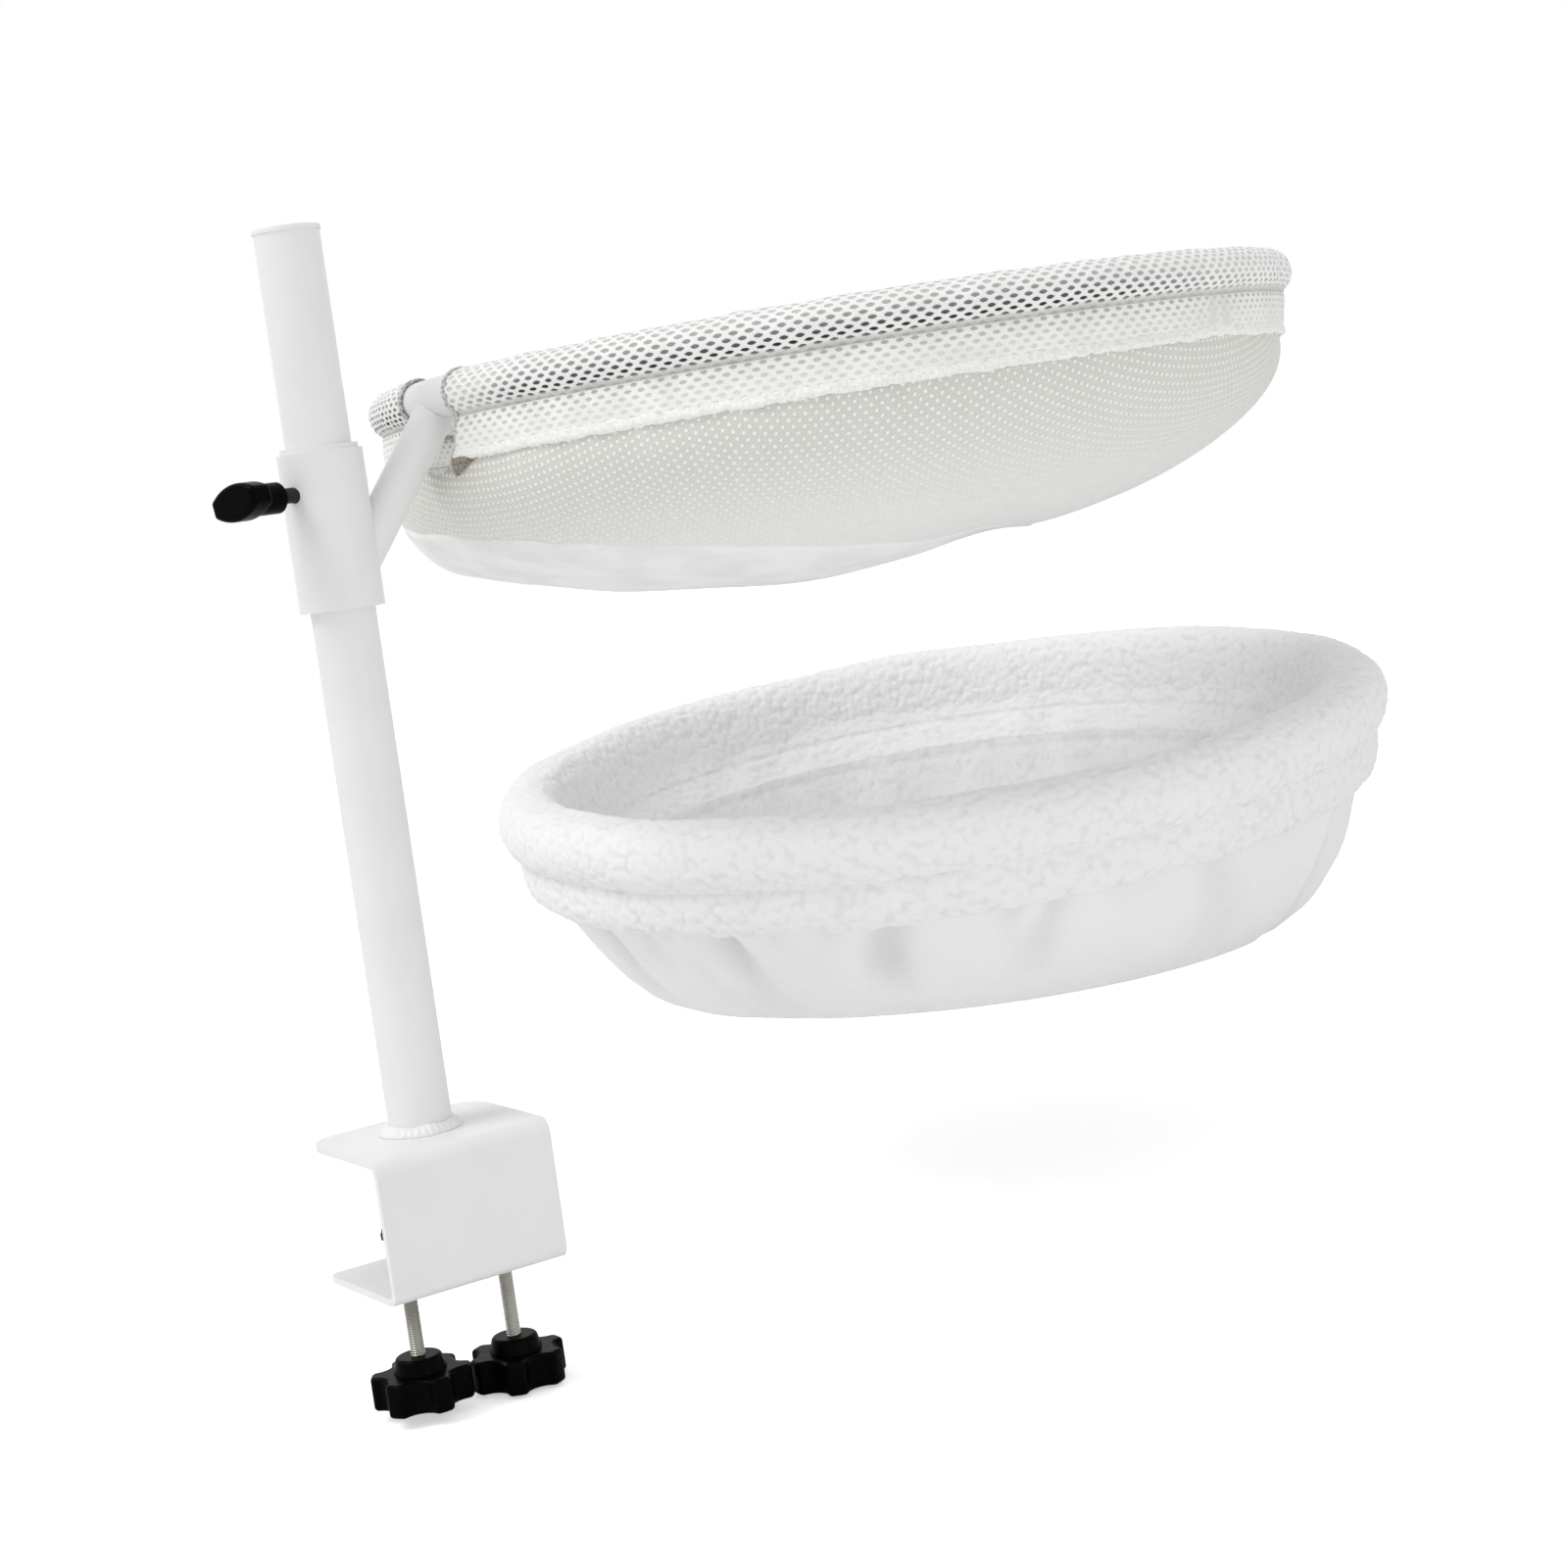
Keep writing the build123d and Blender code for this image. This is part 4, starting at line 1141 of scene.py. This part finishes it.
# Plain weave: fine threads across each other, the product of a sine along X and one along Y
def weaveMaterial(name, look):
    material, tree, shader = newMaterial(name, {"Roughness": 0.9, "Specular IOR Level": 0.15})
    place = addNode(tree, "ShaderNodeTexCoord").outputs["Object"]
    parts = addNode(tree, "ShaderNodeSeparateXYZ", {}, {}, {"Vector": place})
    turns = math.tau / (look["thread"] * mm)
    waves = [calc(tree, "SINE", calc(tree, "MULTIPLY", parts.outputs[k], turns)) for k in (0, 1)]
    weave = calc(tree, "MULTIPLY_ADD", calc(tree, "MULTIPLY", *waves), 0.5, 0.5)
    paint(tree, shader, weave, look["hex"], look["deepHex"])
    addBumps(tree, shader, [(weave, 0.1)])
    return material


# The base cloth: a thin disc with a slightly rippled surface
def makeBase():
    look = baseLook
    share = np.linspace(0, 1, 24)[None, :]
    angle = fullTurn(180)
    ripple = look["ripple"] * ringWaves(angle, 69, 3, 12, 5, 4.0 * share) * share
    top = ringPoints(angle, look["radius"] * share, look["top"] + ripple * 0.5)
    under = ringPoints(angle, look["radius"] * share, look["low"] + np.abs(ripple))
    points = np.concatenate([under, top[:, ::-1]], axis=1) + bedFoot
    return gridMesh("plush_base_cloth", points, closedU=True, closedV=True, weld=True)


rimRoll = makeRimRoll()
lowRoll = makeLowRoll()
wall = makeWall()
lining = makeLining()
floorPad = makeFloor()
baseCloth = makeBase()
baseWeave = weaveMaterial("baseWeave", baseLook)  # plain non-slip cloth
for piece, node, slotName, material, fill in (
    (rimRoll, "plush_rim_roll", "white_fleece", fleece, 0.8),
    (lowRoll, "plush_lower_roll", "white_fleece", fleece, 0.6),
    (wall, "plush_wall", "white_plush", plush, 0.5),
    (lining, "plush_lining", "white_fleece", fleece, 0.3),
    (floorPad, "plush_floor", "white_fleece", floorLitFleece, 0.6),
    (baseCloth, "plush_base", "base_cloth", baseWeave, None),
):
    piece.data.materials.append(material)
    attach(piece, "plush_bed")
    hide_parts(node)
print("plush bed ready")


# Floor, light and camera

stageLook = {
    "floorHeight": -104.5, "floorReach": 9000.0, "floorHex": "#F4F4F4", "floorGlow": 0.5,
    "ambientHex": "#DCDCDC",
}


# A wide pale floor. The camera sees it with a little glow added, so that it fades into the white
# backdrop and keeps the object's shadow.
def makeFloorStage():
    look = stageLook
    reach = look["floorReach"]
    corner = np.array([[-reach, reach], [-reach, reach]])
    points = np.stack([corner.T, corner, np.full((2, 2), look["floorHeight"])], axis=-1)
    made = gridMesh("stage_floor", points)
    material = bpy.data.materials.new("stageFloor")  # matt paper
    tree = emptyTree(material)
    paper = addNode(tree, "ShaderNodeBsdfDiffuse", {}, {"Color": colour(look["floorHex"])})
    path = addNode(tree, "ShaderNodeLightPath")
    seen = calc(tree, "MULTIPLY", path.outputs["Is Camera Ray"], look["floorGlow"])
    glow = addNode(tree, "ShaderNodeEmission", {}, {"Color": (1, 1, 1, 1)}, {"Strength": seen})
    total = addNode(tree, "ShaderNodeAddShader", {}, {}, {0: paper.outputs[0], 1: glow.outputs[0]})
    addNode(tree, "ShaderNodeOutputMaterial", {}, {}, {"Surface": total.outputs[0]})
    made.data.materials.append(material)


# White behind the object for the camera and in reflections, grey studio light for the rest
def makeWorld():
    world = bpy.data.worlds.new("studio")
    scene.world = world
    tree = emptyTree(world)
    path = addNode(tree, "ShaderNodeLightPath")
    direct = calc(tree, "MAXIMUM", path.outputs["Is Camera Ray"], path.outputs["Is Glossy Ray"])
    direct = calc(tree, "MAXIMUM", direct, path.outputs["Is Transmission Ray"])
    seen = blendColours(tree, direct, stageLook["ambientHex"], "#FFFFFF")
    sky = addNode(tree, "ShaderNodeBackground", {}, {"Strength": 1.0}, {"Color": seen})
    addNode(tree, "ShaderNodeOutputWorld", {}, {}, {"Surface": sky.outputs[0]})


# Places a lamp or a camera in the scene by its three axes and its place in mm
def placeInScene(name, data, right, up, back, place):
    made = bpy.data.objects.new(name, data)
    rows = [[right[k], up[k], back[k], place[k] * mm] for k in range(3)]
    made.matrix_world = Matrix(rows + [[0, 0, 0, 1]])
    scene.collection.objects.link(made)
    return made


# A lamp that shines from one point towards another, in mm
def addLamp(name, kind, start, target, energy, size):
    lamp = bpy.data.lights.new(name, kind)
    lamp.energy = energy
    if kind == "SUN":
        lamp.angle = math.radians(size)
    else:
        lamp.shape, lamp.size = "SQUARE", size * mm
    away = np.array(start, float) - np.array(target, float)
    away /= np.linalg.norm(away)
    side = np.cross([0, 0, 1], away)
    side /= np.linalg.norm(side)
    placeInScene(name, lamp, side, np.cross(away, side), away, start)


cameraLook = {
    "place": (-446.32, -996.63, 244.6), "yaw": 32.57, "pitch": 6.511, "roll": -7.624,
    "lens": 63.82, "sensor": 36.0, "farthest": 60.0,
}


# The photograph's camera: turned right by yaw, tipped down by pitch and rolled
def makeCamera():
    look = cameraLook
    yaw, pitch, roll = (math.radians(look[key]) for key in ("yaw", "pitch", "roll"))
    level = math.cos(pitch)
    ahead = np.array([math.sin(yaw) * level, math.cos(yaw) * level, -math.sin(pitch)])
    right = np.array([math.cos(yaw), -math.sin(yaw), 0.0])
    up = np.cross(right, ahead)
    rolledRight = math.cos(roll) * right + math.sin(roll) * up
    rolledUp = -math.sin(roll) * right + math.cos(roll) * up
    camera = bpy.data.cameras.new("photoCamera")
    camera.lens = look["lens"]
    camera.sensor_width = look["sensor"]
    camera.clip_end = look["farthest"]
    scene.camera = placeInScene("photoCamera", camera, rolledRight, rolledUp, -ahead, look["place"])


makeFloorStage()
makeWorld()
addLamp("keySun", "SUN", (-790, 150, 1100), (0, 0, 0), 1.12, 30)
addLamp("frontSoftbox", "AREA", (250, -1200, 350), (250, 0, 150), 0.32, 700)
addLamp("lowReflector", "AREA", (100, -820, -60), (230, 0, 240), 0.4, 500)
makeCamera()
scene.view_settings.view_transform = "Standard"
print("stage ready")
